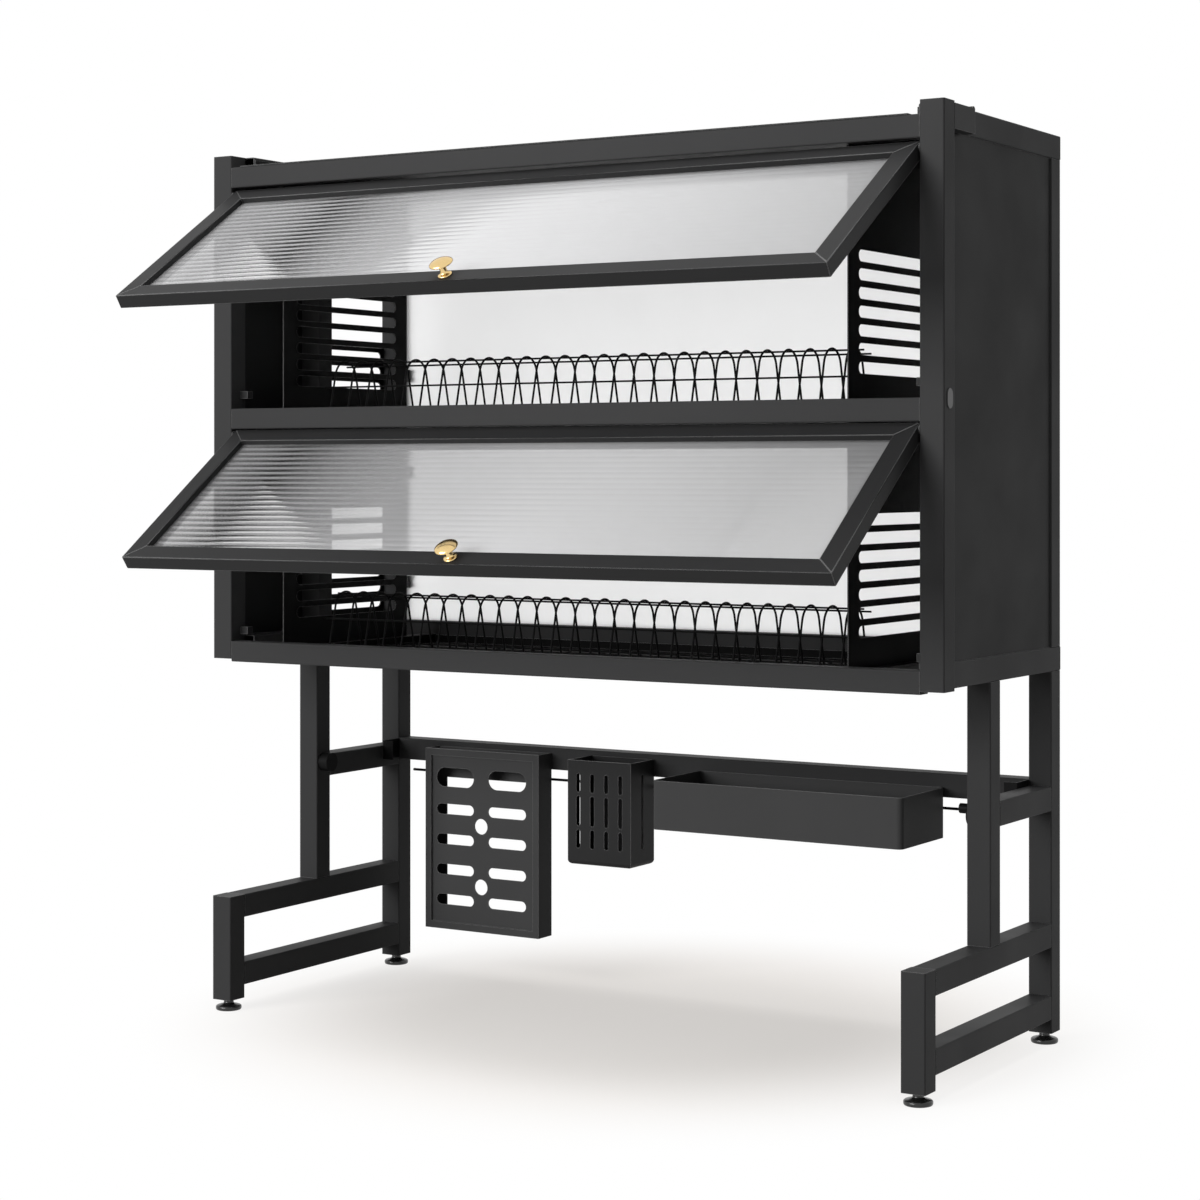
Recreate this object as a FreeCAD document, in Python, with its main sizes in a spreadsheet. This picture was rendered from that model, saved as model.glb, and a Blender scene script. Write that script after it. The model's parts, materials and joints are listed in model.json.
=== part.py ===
import FreeCAD, Part
import math
import os
import re

import Sketcher

# Covered dish drying rack on a sink stand, in millimetres.
# X runs to the right, Y to the back and Z up. The origin is on the floor, in the middle of the width and
# of the depth that the part-open doors reach.

V = FreeCAD.Vector

# Driving sizes

SIZES = (
    # whole object
    ("rear_plane", 258, "rear face of the tubes, behind the origin"),
    ("body_width", 848, "width over the stand and the cabinet body"),
    ("front_overhang", 12, "front posts outside the body on each side"),
    ("cabinet_depth", 320, "front posts to rear face"),
    ("stand_depth", 336, "foot posts to rear face"),
    ("cabinet_bottom", 383, "underside of the cabinet tubes"),
    ("lower_bay", 224, "clear height between the bottom and middle tubes"),
    ("upper_bay", 252, "clear height between the middle and top tubes"),
    # tubes and sheet
    ("tube", 25, "side of the square tube"),
    ("tube_wall", 1.2, "wall of the square tube"),
    ("tube_corner", 1.6, "outer corner radius of the square tube"),
    ("sheet_thickness", 1.2, "thickness of the folded sheet"),
    ("fit_gap", 0.3, "gap beside a piece that lifts out"),
    # stand
    ("foot_height", 12, "floor to the lower end of the legs"),
    ("foot_post_top", 125, "top of the short front posts"),
    ("lower_rail_bottom", 26, "underside of the lower stand rails"),
    ("middle_stand_rail_bottom", 240, "underside of the middle stand rails"),
    ("upright_setback", 153, "foot posts' front face to the uprights' front face"),
    ("beam_bottom", 246.5, "underside of the back beam"),
    ("rod_drop", 11.9, "axis of the hanging rod below the beam"),
    ("rod_radius", 1.5, "hanging rod"),
    ("rod_inset", 18, "ends of the hanging rod inside the legs"),
    ("hanger_inset", 54, "rod hangers inside the legs"),
    ("hanger_width", 8, "rod hanger along X"),
    ("hanger_rim", 1.5, "hanger round the rod"),
    ("rod_setback", 6, "rod's axis behind the rear legs' front face"),
    ("peg_radius", 10.5, "round pegs on the front uprights"),
    ("peg_length", 12, "how far a peg stands out"),
    ("peg_height", 257, "axis of the left peg above the floor"),
    ("peg_plate", 2, "round plate under the right peg's stub"),
    ("peg_plate_drop", 6, "right peg's plate below the left peg's axis"),
    ("peg_stub_radius", 5, "right peg's stub"),
    ("angle_reach", 31, "angle brackets in front of the rear legs"),
    ("angle_bottom", 249, "underside of the angle brackets"),
    ("angle_height", 22, "height of the angle brackets"),
    ("angle_width", 14, "angle bracket's front leg along X"),
    # levelling feet
    ("pad_radius", 14, "foot pad"),
    ("pad_height", 5, "foot pad's straight rim"),
    ("pad_crown", 7.5, "height where the pad meets its stem"),
    ("stem_radius", 4, "foot stem"),
    ("stem_collar", 2, "pad's neck outside the stem"),
    ("stem_length", 24, "foot stem above the pad"),
    ("insert_height", 18, "threaded insert inside a leg"),
    ("running_gap", 0.05, "radial gap of a turning fit"),
    # front rails
    ("front_rail_height", 22.5, "height of the three front rails"),
    ("front_rail_depth", 19, "depth of the three front rails"),
    ("top_rail_drop", 13, "top front rail below the top of the posts"),
    ("middle_front_rise", 2.5, "middle front rail above the middle side rails"),
    ("bottom_front_drop", 3, "bottom front rail below the posts"),
    ("rear_rail_rise", 4, "bottom rear rail above the side rails"),
    ("skin_inset", 3, "middle rails and side skins inside the tube faces"),
    # side skins and guards
    ("left_panel_reach", 149, "rear edge of the left side panel, behind the front posts' face"),
    ("guard_rise", 78, "guard's top above its tier"),
    ("guard_overlap", 12, "guard below its tier, on the rail"),
    ("guard_slot_near", 168, "front end of the guard slots, behind that face"),
    ("guard_slot_far", 289, "rear end of the guard slots, behind that face"),
    ("guard_slot_rows", 3, "rows of slots in a guard"),
    # partitions and their bearers
    ("right_partition_inset", 97, "right partition inside the body"),
    ("left_partition_inset", 70, "left partition inside the body"),
    ("partition_near", 20, "front edge of the partitions, behind that face"),
    ("partition_far", 249, "rear edge of the partitions, behind that face"),
    ("partition_flange", 12, "folded flanges of the partitions"),
    ("slot_near", 43, "front end of the partition slots, behind that face"),
    ("slot_far", 227.5, "rear end of the partition slots, behind that face"),
    ("slot_height", 11.5, "height of one slot"),
    ("slot_pitch", 18, "from slot to slot"),
    ("slot_rows", 7, "rows of slots in a partition"),
    ("first_slot", 31, "lowest slot's middle above its tier"),
    ("bearer_width", 25, "bearer under a partition"),
    ("bearer_height", 12, "height of a bearer"),
    ("bearer_drop", 6, "bearer's top below its tier"),
    # drip trays
    ("drip_near", 24, "front edge of a drip tray's rim, behind that face"),
    ("drip_far", 289, "rear edge of a drip tray's rim, behind that face"),
    ("drip_rim", 6, "rim that lies on the bearers"),
    ("drip_drop", 16, "underside of the tray floor below its tier"),
    # plate racks
    ("arch_count", 27, "wire arches in the row"),
    ("arch_pitch", 24, "from arch to arch"),
    ("arch_rise", 53.8, "top of the arches above their tier"),
    ("arch_radius", 19, "bend at the top of an arch"),
    ("leg_lean", 13.6, "lean of an arch's legs, in degrees"),
    ("wire_radius", 1.1, "rack wire"),
    ("tie_radius", 1, "thin rods that tie the arches"),
    ("row_depth", 94, "middle of the row of arches, behind that face"),
    ("front_tie_drop", 29, "front tie rod below the arch tops"),
    ("rear_tie_drop", 5.5, "rear tie rod below the arch tops"),
    ("rack_near", 42, "front rod of the rack base, behind that face"),
    ("rack_far", 208, "rear rod of the rack base, behind that face"),
    ("rack_end_gap", 18, "rack ends inside the partitions"),
    ("cross_wire_count", 15, "wires across the rack base"),
    # roof and back
    ("roof_flange", 10, "upturned edge of the roof"),
    ("back_panel_setback", 9, "back panels behind the rear posts' front face"),
    ("back_panel_thickness", 3, "frosted back panels"),
    ("clip_width", 10, "back panel clip along X"),
    ("clip_depth", 15, "back panel clip along Y"),
    ("clip_lip", 4, "clip's front lip"),
    ("clip_height", 14, "back panel clip along Z"),
    ("clip_web", 2, "clip's web against the post"),
    ("clip_inset", 45, "clips from the ends of their panel"),
    ("screw_radius", 1.5, "clip screw"),
    ("screw_head_radius", 3, "clip screw head"),
    ("screw_head", 1.6, "height of a clip screw head"),
    # corner blocks
    ("corner_block_length", 47, "block behind a front post"),
    ("corner_block_height", 24.3, "height of the block"),
    ("corner_bump", 3.5, "radius of the bump on the block"),
    # doors
    ("door_gap", 2, "door to post"),
    ("door_thickness", 15, "thickness of a door frame"),
    ("door_profile", 20, "width of a door frame's bars"),
    ("door_wall", 1.5, "wall of the door frame's bars"),
    ("door_edge_round", 1, "rounded edges of the door frame"),
    ("door_face_inset", 0.5, "closed door behind the front of the posts"),
    ("upper_door_clearance", 9.5, "gaps above and below the closed upper door"),
    ("lower_door_clearance", 3.5, "gaps above and below the closed lower door"),
    ("upper_hinge_drop", 8.7, "upper hinge axis below the top front rail"),
    ("lower_hinge_drop", 7, "lower hinge axis below the middle front rail"),
    ("upper_door_angle", 57, "upper door's opening, in degrees"),
    ("lower_door_angle", 54, "lower door's opening, in degrees"),
    ("pin_inset", 4.5, "hinge axis inside the door's top and outer faces"),
    ("pin_radius", 2.5, "hinge pin"),
    ("pin_hold", 12, "pin inside the door"),
    ("pin_reach", 9, "pin past the door's side"),
    ("bush_radius", 3.4, "hinge bush in the post"),
    ("bush_flange_radius", 4.9, "bush flange in the door gap"),
    ("bush_flange", 1.2, "thickness of the bush flange"),
    ("bush_length", 8, "bush inside the post"),
    ("bush_hole_gap", 0.1, "post's hole round a bush"),
    ("key_length", 28, "arms of the angle pieces inside a door's corners"),
    ("panel_start", 6.5, "panel sheet behind the door's outer face"),
    ("panel_thickness", 3, "door panel sheet"),
    ("panel_tuck", 5, "panel edge inside the bars"),
    ("panel_slot_gap", 0.1, "slot round the panel's edge"),
    ("rib_height", 0.25, "panel ribs"),
    ("rib_width", 8.6, "one rib"),
    ("rib_pitch", 8.8, "from rib to rib"),
    ("rib_start", 5.5, "lowest rib above the frame's inner edge"),
    ("rib_end_gap", 1, "ribs' ends short of the bars"),
    ("stop_width", 10, "door stop along X"),
    ("stop_depth", 8.6, "door stop along Y"),
    ("stop_height", 8, "door stop along Z"),
    ("stop_rise", 6, "door stop above the closed door's lower edge"),
    # knobs
    ("knob_edge", 10, "knob's axis above the door's lower edge"),
    ("knob_flange_radius", 7, "knob's foot"),
    ("knob_flange", 2, "height of the knob's foot"),
    ("knob_stem_radius", 3.8, "knob's stem"),
    ("knob_disc_radius", 12, "knob's disc"),
    ("knob_disc_start", 12, "underside of the disc's rim"),
    ("knob_rim", 2, "disc's rim"),
    ("knob_dome_radius", 8.6, "disc where its dome steepens"),
    ("knob_dome_drop", 1.4, "that place below the knob's end"),
    ("knob_crown_radius", 4.3, "disc where its dome flattens"),
    ("knob_crown_drop", 0.4, "that place below the knob's end"),
    ("knob_projection", 17.5, "knob in front of the door"),
    # hung pieces
    ("hook_gap", 0.3, "between a hook and the rod"),
    ("hook_thickness", 2, "hook strip"),
    ("hook_width", 10, "width of a hook"),
    ("hook_tip_gap", 0.5, "hook's tip behind the rod"),
    ("hook_tip_drop", 4.5, "hook's tip below the top of the rod"),
    ("hook_inset", 18, "hooks from the ends of their piece"),
    ("hung_wall", 1.5, "walls of the hung pieces"),
    ("board_inset", 59, "board rack's left side from the left leg"),
    ("board_width", 157, "board rack along X"),
    ("board_depth", 27.7, "board rack along Y"),
    ("board_hang", 30.9, "board rack's top above the rod's axis"),
    ("board_height", 209, "board rack along Z"),
    ("board_rim", 8, "rim round the slotted face"),
    ("board_recess", 3, "slotted face behind the rim"),
    ("board_slot_length", 52, "slots of the board rack"),
    ("board_slot_height", 12, "lower slots of the board rack"),
    ("board_top_slot_height", 22, "top slots of the board rack"),
    ("board_slot_gap", 20, "between the two columns of slots"),
    ("board_slot_shift", 2.5, "middle of the columns left of the rack's middle"),
    ("board_slot_pitch", 35, "from row to row"),
    ("board_first_slot", 34, "lowest slots above the rack's underside"),
    ("board_slot_rows", 4, "rows of lower slots"),
    ("board_top_rise", 2, "top slots above their place in the rows"),
    ("board_hole_radius", 9, "round holes between the columns"),
    ("board_back_frame", 12, "frame left round the open back"),
    ("board_back_top", 36, "solid strip at the top of the back"),
    ("cage_gap", 54, "cutlery cage right of the board rack"),
    ("cage_width", 82, "cutlery cage along X"),
    ("cage_depth", 50.7, "cutlery cage along Y"),
    ("cage_hang", 31.4, "cutlery cage's top above the rod's axis"),
    ("cage_height", 116.5, "cutlery cage along Z"),
    ("cage_corner", 5, "cage's cut lower corners"),
    ("cage_slot_width", 5, "cage slots"),
    ("cage_slot_pitch", 18.2, "from slot to slot"),
    ("cage_slot_count", 4, "slots across the front"),
    ("cage_low_slot", 18.5, "lowest slots above the underside"),
    ("cage_short_slot", 21, "length of the short slots"),
    ("cage_long_slot", 33.5, "length of the middle slots"),
    ("cage_bridge", 4, "bridge between two slots"),
    ("tray_gap", 60, "long tray right of the cutlery cage"),
    ("tray_width", 293, "long tray along X"),
    ("tray_depth", 107.7, "long tray along Y"),
    ("tray_hang", 22.7, "long tray's top above the rod's axis"),
    ("tray_height", 52.5, "long tray along Z"),
    ("tray_corner", 6, "long tray's upright corners"),
    ("tray_slot_length", 80, "drain slots of the long tray"),
    ("tray_slot_width", 6, "drain slots of the long tray"),
    ("tray_slot_pitch", 20, "from drain slot to drain slot"),
    ("tray_slot_count", 13, "drain slots of the long tray"),
    # trim
    ("plug_depth", 8, "plug inside an open tube end"),
    ("cover_width", 12, "oval screw cover along Y"),
    ("cover_height", 19, "oval screw cover along Z"),
    ("cover_proud", 0.8, "screw cover in front of the post"),
    ("cover_rise", 21.5, "middle of the screw covers above the underside of the middle front rail"),
)

# Places worked out from the sizes

PLACES = {
    "body_side": "body_width / 2",
    "inner_side": "body_side - tube",
    "frame_side": "body_side + front_overhang",
    "frame_inner": "frame_side - tube",
    "inset_side": "body_side - skin_inset",
    "cabinet_front": "rear_plane - cabinet_depth",
    "stand_front": "rear_plane - stand_depth",
    "post_back": "cabinet_front + tube",
    "rear_front": "rear_plane - tube",
    "upright_front": "stand_front + upright_setback",
    "middle_rail_bottom": "cabinet_bottom + tube + lower_bay",
    "top_rail_bottom": "middle_rail_top + upper_bay",
    "cabinet_top": "top_rail_bottom + tube",
    "bottom_rail_top": "cabinet_bottom + tube",
    "middle_rail_top": "middle_rail_bottom + tube",
    "front_rail_face": "cabinet_front + door_face_inset",
    "front_rail_back": "front_rail_face + front_rail_depth",
    "top_front_rail_bottom": "cabinet_top - top_rail_drop - front_rail_height",
    "middle_front_rail_bottom": "middle_rail_bottom + middle_front_rise",
    "bottom_front_rail_bottom": "cabinet_bottom - bottom_front_drop",
    "lower_tier": "bottom_front_rail_bottom + front_rail_height",
    "upper_tier": "middle_front_rail_bottom + front_rail_height",
    "roof_bottom": "top_front_rail_bottom + front_rail_height",
    "right_partition": "body_side - right_partition_inset",
    "left_partition": "body_side - left_partition_inset",
    "right_bearer": "right_partition - bearer_width / 2",
    "left_bearer": "-left_partition - bearer_width / 2",
    "rack_middle": "(right_partition - left_partition) / 2",
    "rack_half_length": "(right_partition + left_partition) / 2 - rack_end_gap",
    "corner_block_bottom": "cabinet_top - corner_block_height - corner_bump / 2",
    "upper_door_height": "top_front_rail_bottom - upper_tier - upper_door_clearance",
    "lower_door_height": "middle_front_rail_bottom - lower_tier - lower_door_clearance",
    "board_left": "-inner_side + board_inset",
    "cage_left": "board_left + board_width + cage_gap",
    "tray_left": "cage_left + cage_width + tray_gap",
    "rod_height": "beam_bottom - rod_drop",
    "board_bottom": "rod_height + board_hang - board_height",
    "cage_bottom": "rod_height + cage_hang - cage_height",
    "tray_bottom": "rod_height + tray_hang - tray_height",
    "rod_length": "2 * (inner_side - rod_inset)",
    "hanger_offset": "inner_side - hanger_inset",
    "cover_centre": "middle_front_rail_bottom + cover_rise",
    "back_panel_front": "rear_front + back_panel_setback",
    "back_panel_side": "inner_side - clip_web",
    "lower_back_bottom": "bottom_rail_top + rear_rail_rise",
    "pin_plane": "front_rail_face + pin_inset",
    "upper_pin": "top_front_rail_bottom - upper_hinge_drop",
    "lower_pin": "middle_front_rail_bottom - lower_hinge_drop",
    "door_side": "frame_inner - door_gap",
    "door_back": "door_thickness - pin_inset",
    "panel_front": "panel_start - pin_inset",
    "rod_plane": "rear_front + rod_setback",
    "rod_top": "rod_height + rod_radius",
    "hung_back": "rear_front - fit_gap",
    "left_panel_back": "cabinet_front + left_panel_reach",
    "guard_slot_start": "cabinet_front + guard_slot_near",
    "guard_slot_end": "cabinet_front + guard_slot_far",
    "partition_front": "cabinet_front + partition_near",
    "partition_back": "cabinet_front + partition_far",
    "slot_front": "cabinet_front + slot_near",
    "slot_back": "cabinet_front + slot_far",
    "drip_front": "cabinet_front + drip_near",
    "drip_back": "cabinet_front + drip_far",
    "arch_row": "cabinet_front + row_depth",
    "rack_front": "cabinet_front + rack_near",
    "rack_back": "cabinet_front + rack_far",
    "angle_front": "rear_front - angle_reach",
    "clip_screw_plane": "back_panel_front + (back_panel_thickness + clip_depth - clip_lip) / 2",
    "clip_level_1": "lower_back_bottom + clip_inset",
    "clip_level_2": "middle_rail_bottom - clip_inset",
    "clip_level_3": "middle_rail_top + clip_inset",
    "clip_level_4": "top_rail_bottom - clip_inset",
}

CLIP_LEVELS = ("clip_level_1", "clip_level_2", "clip_level_3", "clip_level_4")

# Each leg's name and its axis along X and Y
LEG_PLACES = (
    ("front_left", "-body_side + tube / 2", "stand_front + tube / 2"),
    ("front_right", "body_side - tube / 2", "stand_front + tube / 2"),
    ("rear_left", "-body_side + tube / 2", "rear_front + tube / 2"),
    ("rear_right", "body_side - tube / 2", "rear_front + tube / 2"),
)

# Rows of board slots, from the lowest, with a round hole above them
BOARD_HOLE_ROWS = (0, 2)

# Tolerances of the tests on edges, points and volumes, and the angle a door starts from
PARALLEL = 0.999
NO_LENGTH = 1e-6
EDGE_TOLERANCE = 0.1
SMALLEST_CHANGE = 0.01
START_ANGLE = 10

WORD = re.compile(r"[A-Za-z_]\w*")
VALUES = {name: value for name, value, _ in SIZES}


def formula(text):
    """Spell a formula out in the sheet's own cells."""
    def spell(match):
        word = match.group(0)
        if word in PLACES:
            return f"({formula(PLACES[word])})"
        if word in VALUES:
            return f"Sizes.{word}"
        return word
    return WORD.sub(spell, str(text))


def number(text):
    """Work a formula out in plain millimetres, from the values in the sheet."""
    def read(match):
        return repr(float(SHEET.get(match.group(1))))
    spelled = re.sub(r"Sizes\.(\w+)", read, formula(text))
    return FreeCAD.Units.Quantity(spelled).Value


# Document and sheet

DOC = FreeCAD.newDocument("CoveredDishRack")
SHEET = DOC.addObject("Spreadsheet::Sheet", "Sizes")
for row, (name, value, meaning) in enumerate(SIZES, 1):
    SHEET.set(f"A{row}", meaning)
    SHEET.set(f"B{row}", str(value))
    SHEET.setAlias(f"B{row}", name)
DOC.recompute()

NODES = []
SIDES = ("left", "right")
TIERS = ("lower", "upper")

# Turns that lay a cylinder, made upright, along each axis
TURNS = {
    "x": FreeCAD.Rotation(V(0, 1, 0), 90),
    "y": FreeCAD.Rotation(V(1, 0, 0), -90),
    "z": FreeCAD.Rotation(),
}


def bind(thing, prop, text):
    """Tie one property to a formula of sheet cells."""
    thing.setExpression(prop, formula(text))


def put(thing, x="0", y="0", z="0"):
    """Tie a thing's position to formulas."""
    for axis, text in zip("xyz", (x, y, z)):
        bind(thing, f"Placement.Base.{axis}", text)


def keep(thing, node):
    """Name a finished sub-part and list it as a node."""
    thing.Label = node
    NODES.append(thing)
    return thing


def group(node, members):
    """Keep identical or paired pieces together as one node of separate solids."""
    compound = DOC.addObject("Part::Compound", node)
    compound.Links = members
    return keep(compound, node)


def across(side, outer, width):
    """Lower X of a piece whose outer face is this far from the middle plane, on one side."""
    if side == "left":
        return f"-({outer})"
    return f"({outer}) - ({width})"


def new_body(name, x="0", y="0", z="0"):
    """An empty body at a bound position."""
    body = DOC.addObject("PartDesign::Body", name)
    put(body, x, y, z)
    return body


def block(body, kind, name, size, corner=("0", "0", "0")):
    """Add a box to a body, or cut one from it, by its sizes and its lowest corner."""
    box = body.newObject(f"PartDesign::{kind}Box", name)
    for prop, text in zip(("Length", "Width", "Height"), size):
        bind(box, prop, text)
    put(box, *corner)
    body.Tip = box
    return box


def rod(body, kind, name, radius, length, axis, start=("0", "0", "0")):
    """Add a cylinder to a body, or cut one from it, along an axis from its start."""
    cylinder = body.newObject(f"PartDesign::{kind}Cylinder", name)
    cylinder.Placement = FreeCAD.Placement(V(), TURNS[axis])
    bind(cylinder, "Radius", radius)
    bind(cylinder, "Height", length)
    put(cylinder, *start)
    body.Tip = cylinder
    return cylinder


def runs_along(edge, axis):
    """Whether a straight edge runs along an axis."""
    if not isinstance(edge.Curve, (Part.Line, Part.LineSegment)):
        return False
    direction = edge.tangentAt(edge.FirstParameter)
    return abs(getattr(direction, axis)) > PARALLEL


def round_edges(body, feature, radius, wanted):
    """Round the edges of a feature that a test picks."""
    DOC.recompute()
    names = [f"Edge{count}" for count, edge in enumerate(feature.Shape.Edges, 1) if wanted(edge)]
    fillet = body.newObject("PartDesign::Fillet", "rounding")
    fillet.Base = (feature, names)
    bind(fillet, "Radius", radius)
    body.Tip = fillet
    return fillet


def sketch_on(body, name, role, offset="0"):
    """A sketch on one of a body's own origin planes, moved along the plane's normal."""
    sketch = body.newObject("Sketcher::SketchObject", name)
    planes = [plane for plane in body.Origin.OriginFeatures if plane.Role == role]
    sketch.AttachmentSupport = [(planes[0], "")]
    sketch.MapMode = "FlatFace"
    bind(sketch, "AttachmentOffset.Base.z", offset)
    return sketch


def fix_point(sketch, geometry, place, x, y):
    """Hold a point of the sketch at bound coordinates."""
    for kind, axis, text in (("DistanceX", -2, x), ("DistanceY", -1, y)):
        start = number(text)
        if abs(start) < NO_LENGTH:
            sketch.addConstraint(Sketcher.Constraint("PointOnObject", geometry, place, axis))
            continue
        count = sketch.addConstraint(Sketcher.Constraint(kind, -1, 1, geometry, place, start))
        bind(sketch, f"Constraints[{count}]", text)


def outline(sketch, points):
    """A closed outline of straight lines through points given as formulas."""
    ends = [V(number(x), number(y), 0) for x, y in points]
    lines = [Part.LineSegment(end, ends[(count + 1) % len(ends)]) for count, end in enumerate(ends)]
    edges = sketch.addGeometry(lines, False)
    for count, edge in enumerate(edges):
        following = edges[(count + 1) % len(edges)]
        sketch.addConstraint(Sketcher.Constraint("Coincident", edge, 2, following, 1))
    for edge, (x, y) in zip(edges, points):
        fix_point(sketch, edge, 1, x, y)
    return edges


def slot(sketch, start, middle, length, width, upright=False):
    """A slot with round ends: its start along its length, its middle line, its length and its width."""
    radius = f"({width}) / 2"
    near = f"({start}) + {radius}"
    far = f"({start}) + ({length}) - {radius}"
    reach = number(radius)
    low = number(near)
    high = number(far)
    level = number(middle)
    quarter = math.pi / 2

    def spot(along, beside):
        return V(beside, along, 0) if upright else V(along, beside, 0)

    turn = -1 if upright else 1
    far_circle = Part.Circle(spot(high, level), V(0, 0, 1), reach)
    near_circle = Part.Circle(spot(low, level), V(0, 0, 1), reach)
    first = 0 if upright else -quarter
    shapes = [
        Part.LineSegment(spot(low, level - turn * reach), spot(high, level - turn * reach)),
        Part.ArcOfCircle(far_circle, first, first + 2 * quarter),
        Part.LineSegment(spot(high, level + turn * reach), spot(low, level + turn * reach)),
        Part.ArcOfCircle(near_circle, first + 2 * quarter, first + 4 * quarter),
    ]
    edges = sketch.addGeometry(shapes, False)
    near_line, far_arc, back_line, near_arc = edges
    for one, other in zip(edges, edges[1:] + edges[:1]):
        sketch.addConstraint(Sketcher.Constraint("Coincident", one, 2, other, 1))
    level_rule = "Horizontal" if upright else "Vertical"
    for arc in (far_arc, near_arc):
        for end in (1, 2):
            sketch.addConstraint(Sketcher.Constraint(level_rule, arc, 3, arc, end))
        count = sketch.addConstraint(Sketcher.Constraint("Radius", arc, reach))
        bind(sketch, f"Constraints[{count}]", radius)
    for arc, along in ((far_arc, far), (near_arc, near)):
        x, y = (middle, along) if upright else (along, middle)
        fix_point(sketch, arc, 3, x, y)


def pad(body, sketch, length, name="pad", midplane=False):
    """Raise a sketch along its plane's normal, or evenly both ways."""
    feature = body.newObject("PartDesign::Pad", name)
    feature.Profile = sketch
    feature.Midplane = midplane
    bind(feature, "Length", length)
    body.Tip = feature
    return feature


def cut_through(body, sketch, name="slots"):
    """Cut a sketch right through a body, both ways."""
    feature = body.newObject("PartDesign::Pocket", name)
    feature.Profile = sketch
    feature.Type = "ThroughAll"
    feature.Midplane = True
    body.Tip = feature
    return feature


def repeat(body, feature, sketch, axis, pitch, count, name="rows"):
    """Repeat a feature along one of its sketch's axes."""
    pattern = body.newObject("PartDesign::LinearPattern", name)
    pattern.Originals = [feature]
    pattern.Direction = (sketch, [axis])
    bind(pattern, "Length", f"({pitch}) * (({count}) - 1)")
    bind(pattern, "Occurrences", count)
    body.Tip = pattern
    return pattern


def turned(body, sketch, name="turn"):
    """Turn a half outline once round its sketch's upright axis."""
    feature = body.newObject("PartDesign::Revolution", name)
    feature.Profile = sketch
    feature.ReferenceAxis = (sketch, ["V_Axis"])
    feature.Angle = 360
    body.Tip = feature
    return feature


def tube(name, corner, size, along):
    """A square or flat tube: a box with rounded long edges and a bore right through it."""
    body = new_body(name, *corner)
    outer = block(body, "Additive", "outer", size)
    round_edges(body, outer, "tube_corner", lambda edge: runs_along(edge, along))
    bore_size = []
    bore_corner = []
    for axis, length in zip("xyz", size):
        bore_size.append(length if axis == along else f"({length}) - 2 * tube_wall")
        bore_corner.append("0" if axis == along else "tube_wall")
    block(body, "Subtractive", "bore", bore_size, bore_corner)
    return body


# Cabinet frame

def front_posts():
    """The front posts, with a hole for each hinge bush in their inner walls."""
    members = []
    for side in SIDES:
        corner = (across(side, "frame_side", "tube"), "cabinet_front", "cabinet_bottom")
        post = tube(f"{side}_front_post", corner, ("tube", "tube", "cabinet_top - cabinet_bottom"), "z")
        wall_start = "tube - 2 * tube_wall" if side == "left" else "-tube_wall"
        for tier in TIERS:
            centre = (wall_start, "pin_plane - cabinet_front", f"{tier}_pin - cabinet_bottom")
            radius = "bush_radius + bush_hole_gap"
            rod(post, "Subtractive", f"{tier}_hole", radius, "3 * tube_wall", "x", centre)
        members.append(post)
    group("front_posts", members)


def front_rail(node, bottom):
    """One front rail between the front posts."""
    size = ("2 * frame_inner", "front_rail_depth", "front_rail_height")
    keep(tube(node, ("-frame_inner", "front_rail_face", bottom), size, "x"), node)


def rear_rail(node, bottom):
    """One rear rail between the rear tubes."""
    keep(tube(node, ("-inner_side", "rear_front", bottom), ("2 * inner_side", "tube", "tube"), "x"), node)


def side_pair(node, outer, corner, size, along):
    """A left and a right tube of the same size, as one node."""
    members = []
    for side in SIDES:
        place = (across(side, outer, size[0]), *corner)
        members.append(tube(f"{side}_{node}", place, size, along))
    group(node, members)


def cabinet_side_rails():
    """Top, middle and bottom rails of the two sides."""
    long_size = ("tube", "rear_plane - post_back", "tube")
    short_size = ("tube", "rear_front - post_back", "tube")
    side_pair("top_side_rails", "body_side", ("post_back", "top_rail_bottom"), long_size, "y")
    side_pair("bottom_side_rails", "body_side", ("post_back", "cabinet_bottom"), long_size, "y")
    side_pair("middle_side_rails", "inset_side", ("post_back", "middle_rail_bottom"), short_size, "y")


def rear_posts():
    """The cabinet's rear posts, between the bottom and top side rails."""
    members = []
    for side in SIDES:
        corner = (across(side, "body_side", "tube"), "rear_front", "bottom_rail_top")
        post = tube(f"{side}_rear_post", corner, ("tube", "tube", "top_rail_bottom - bottom_rail_top"), "z")
        wall_start = "tube - 2 * tube_wall" if side == "left" else "-tube_wall"
        for count, level in enumerate(CLIP_LEVELS):
            centre = (wall_start, "clip_screw_plane - rear_front", f"{level} - bottom_rail_top")
            rod(post, "Subtractive", f"hole_{count}", "screw_radius", "3 * tube_wall", "x", centre)
        members.append(post)
    group("rear_posts", members)


def inner_uprights():
    """The uprights half way back, one in each side of each tier."""
    spans = (
        ("lower", "bottom_rail_top", "middle_rail_bottom"),
        ("upper", "middle_rail_top", "top_rail_bottom"),
    )
    members = []
    for tier, bottom, top in spans:
        for side in SIDES:
            corner = (across(side, "inset_side", "tube"), "upright_front", bottom)
            size = ("tube", "tube", f"{top} - {bottom}")
            members.append(tube(f"{side}_{tier}_inner_upright", corner, size, "z"))
    group("inner_uprights", members)


def tier_bearers():
    """The flat bars under the partitions and the drip trays' rims."""
    members = []
    for tier in TIERS:
        for side in SIDES:
            corner = (f"{side}_bearer", "front_rail_back", f"{tier}_tier - bearer_drop - bearer_height")
            size = ("bearer_width", "rear_front - front_rail_back", "bearer_height")
            members.append(tube(f"{side}_{tier}_bearer", corner, size, "y"))
    group("tier_bearers", members)


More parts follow.
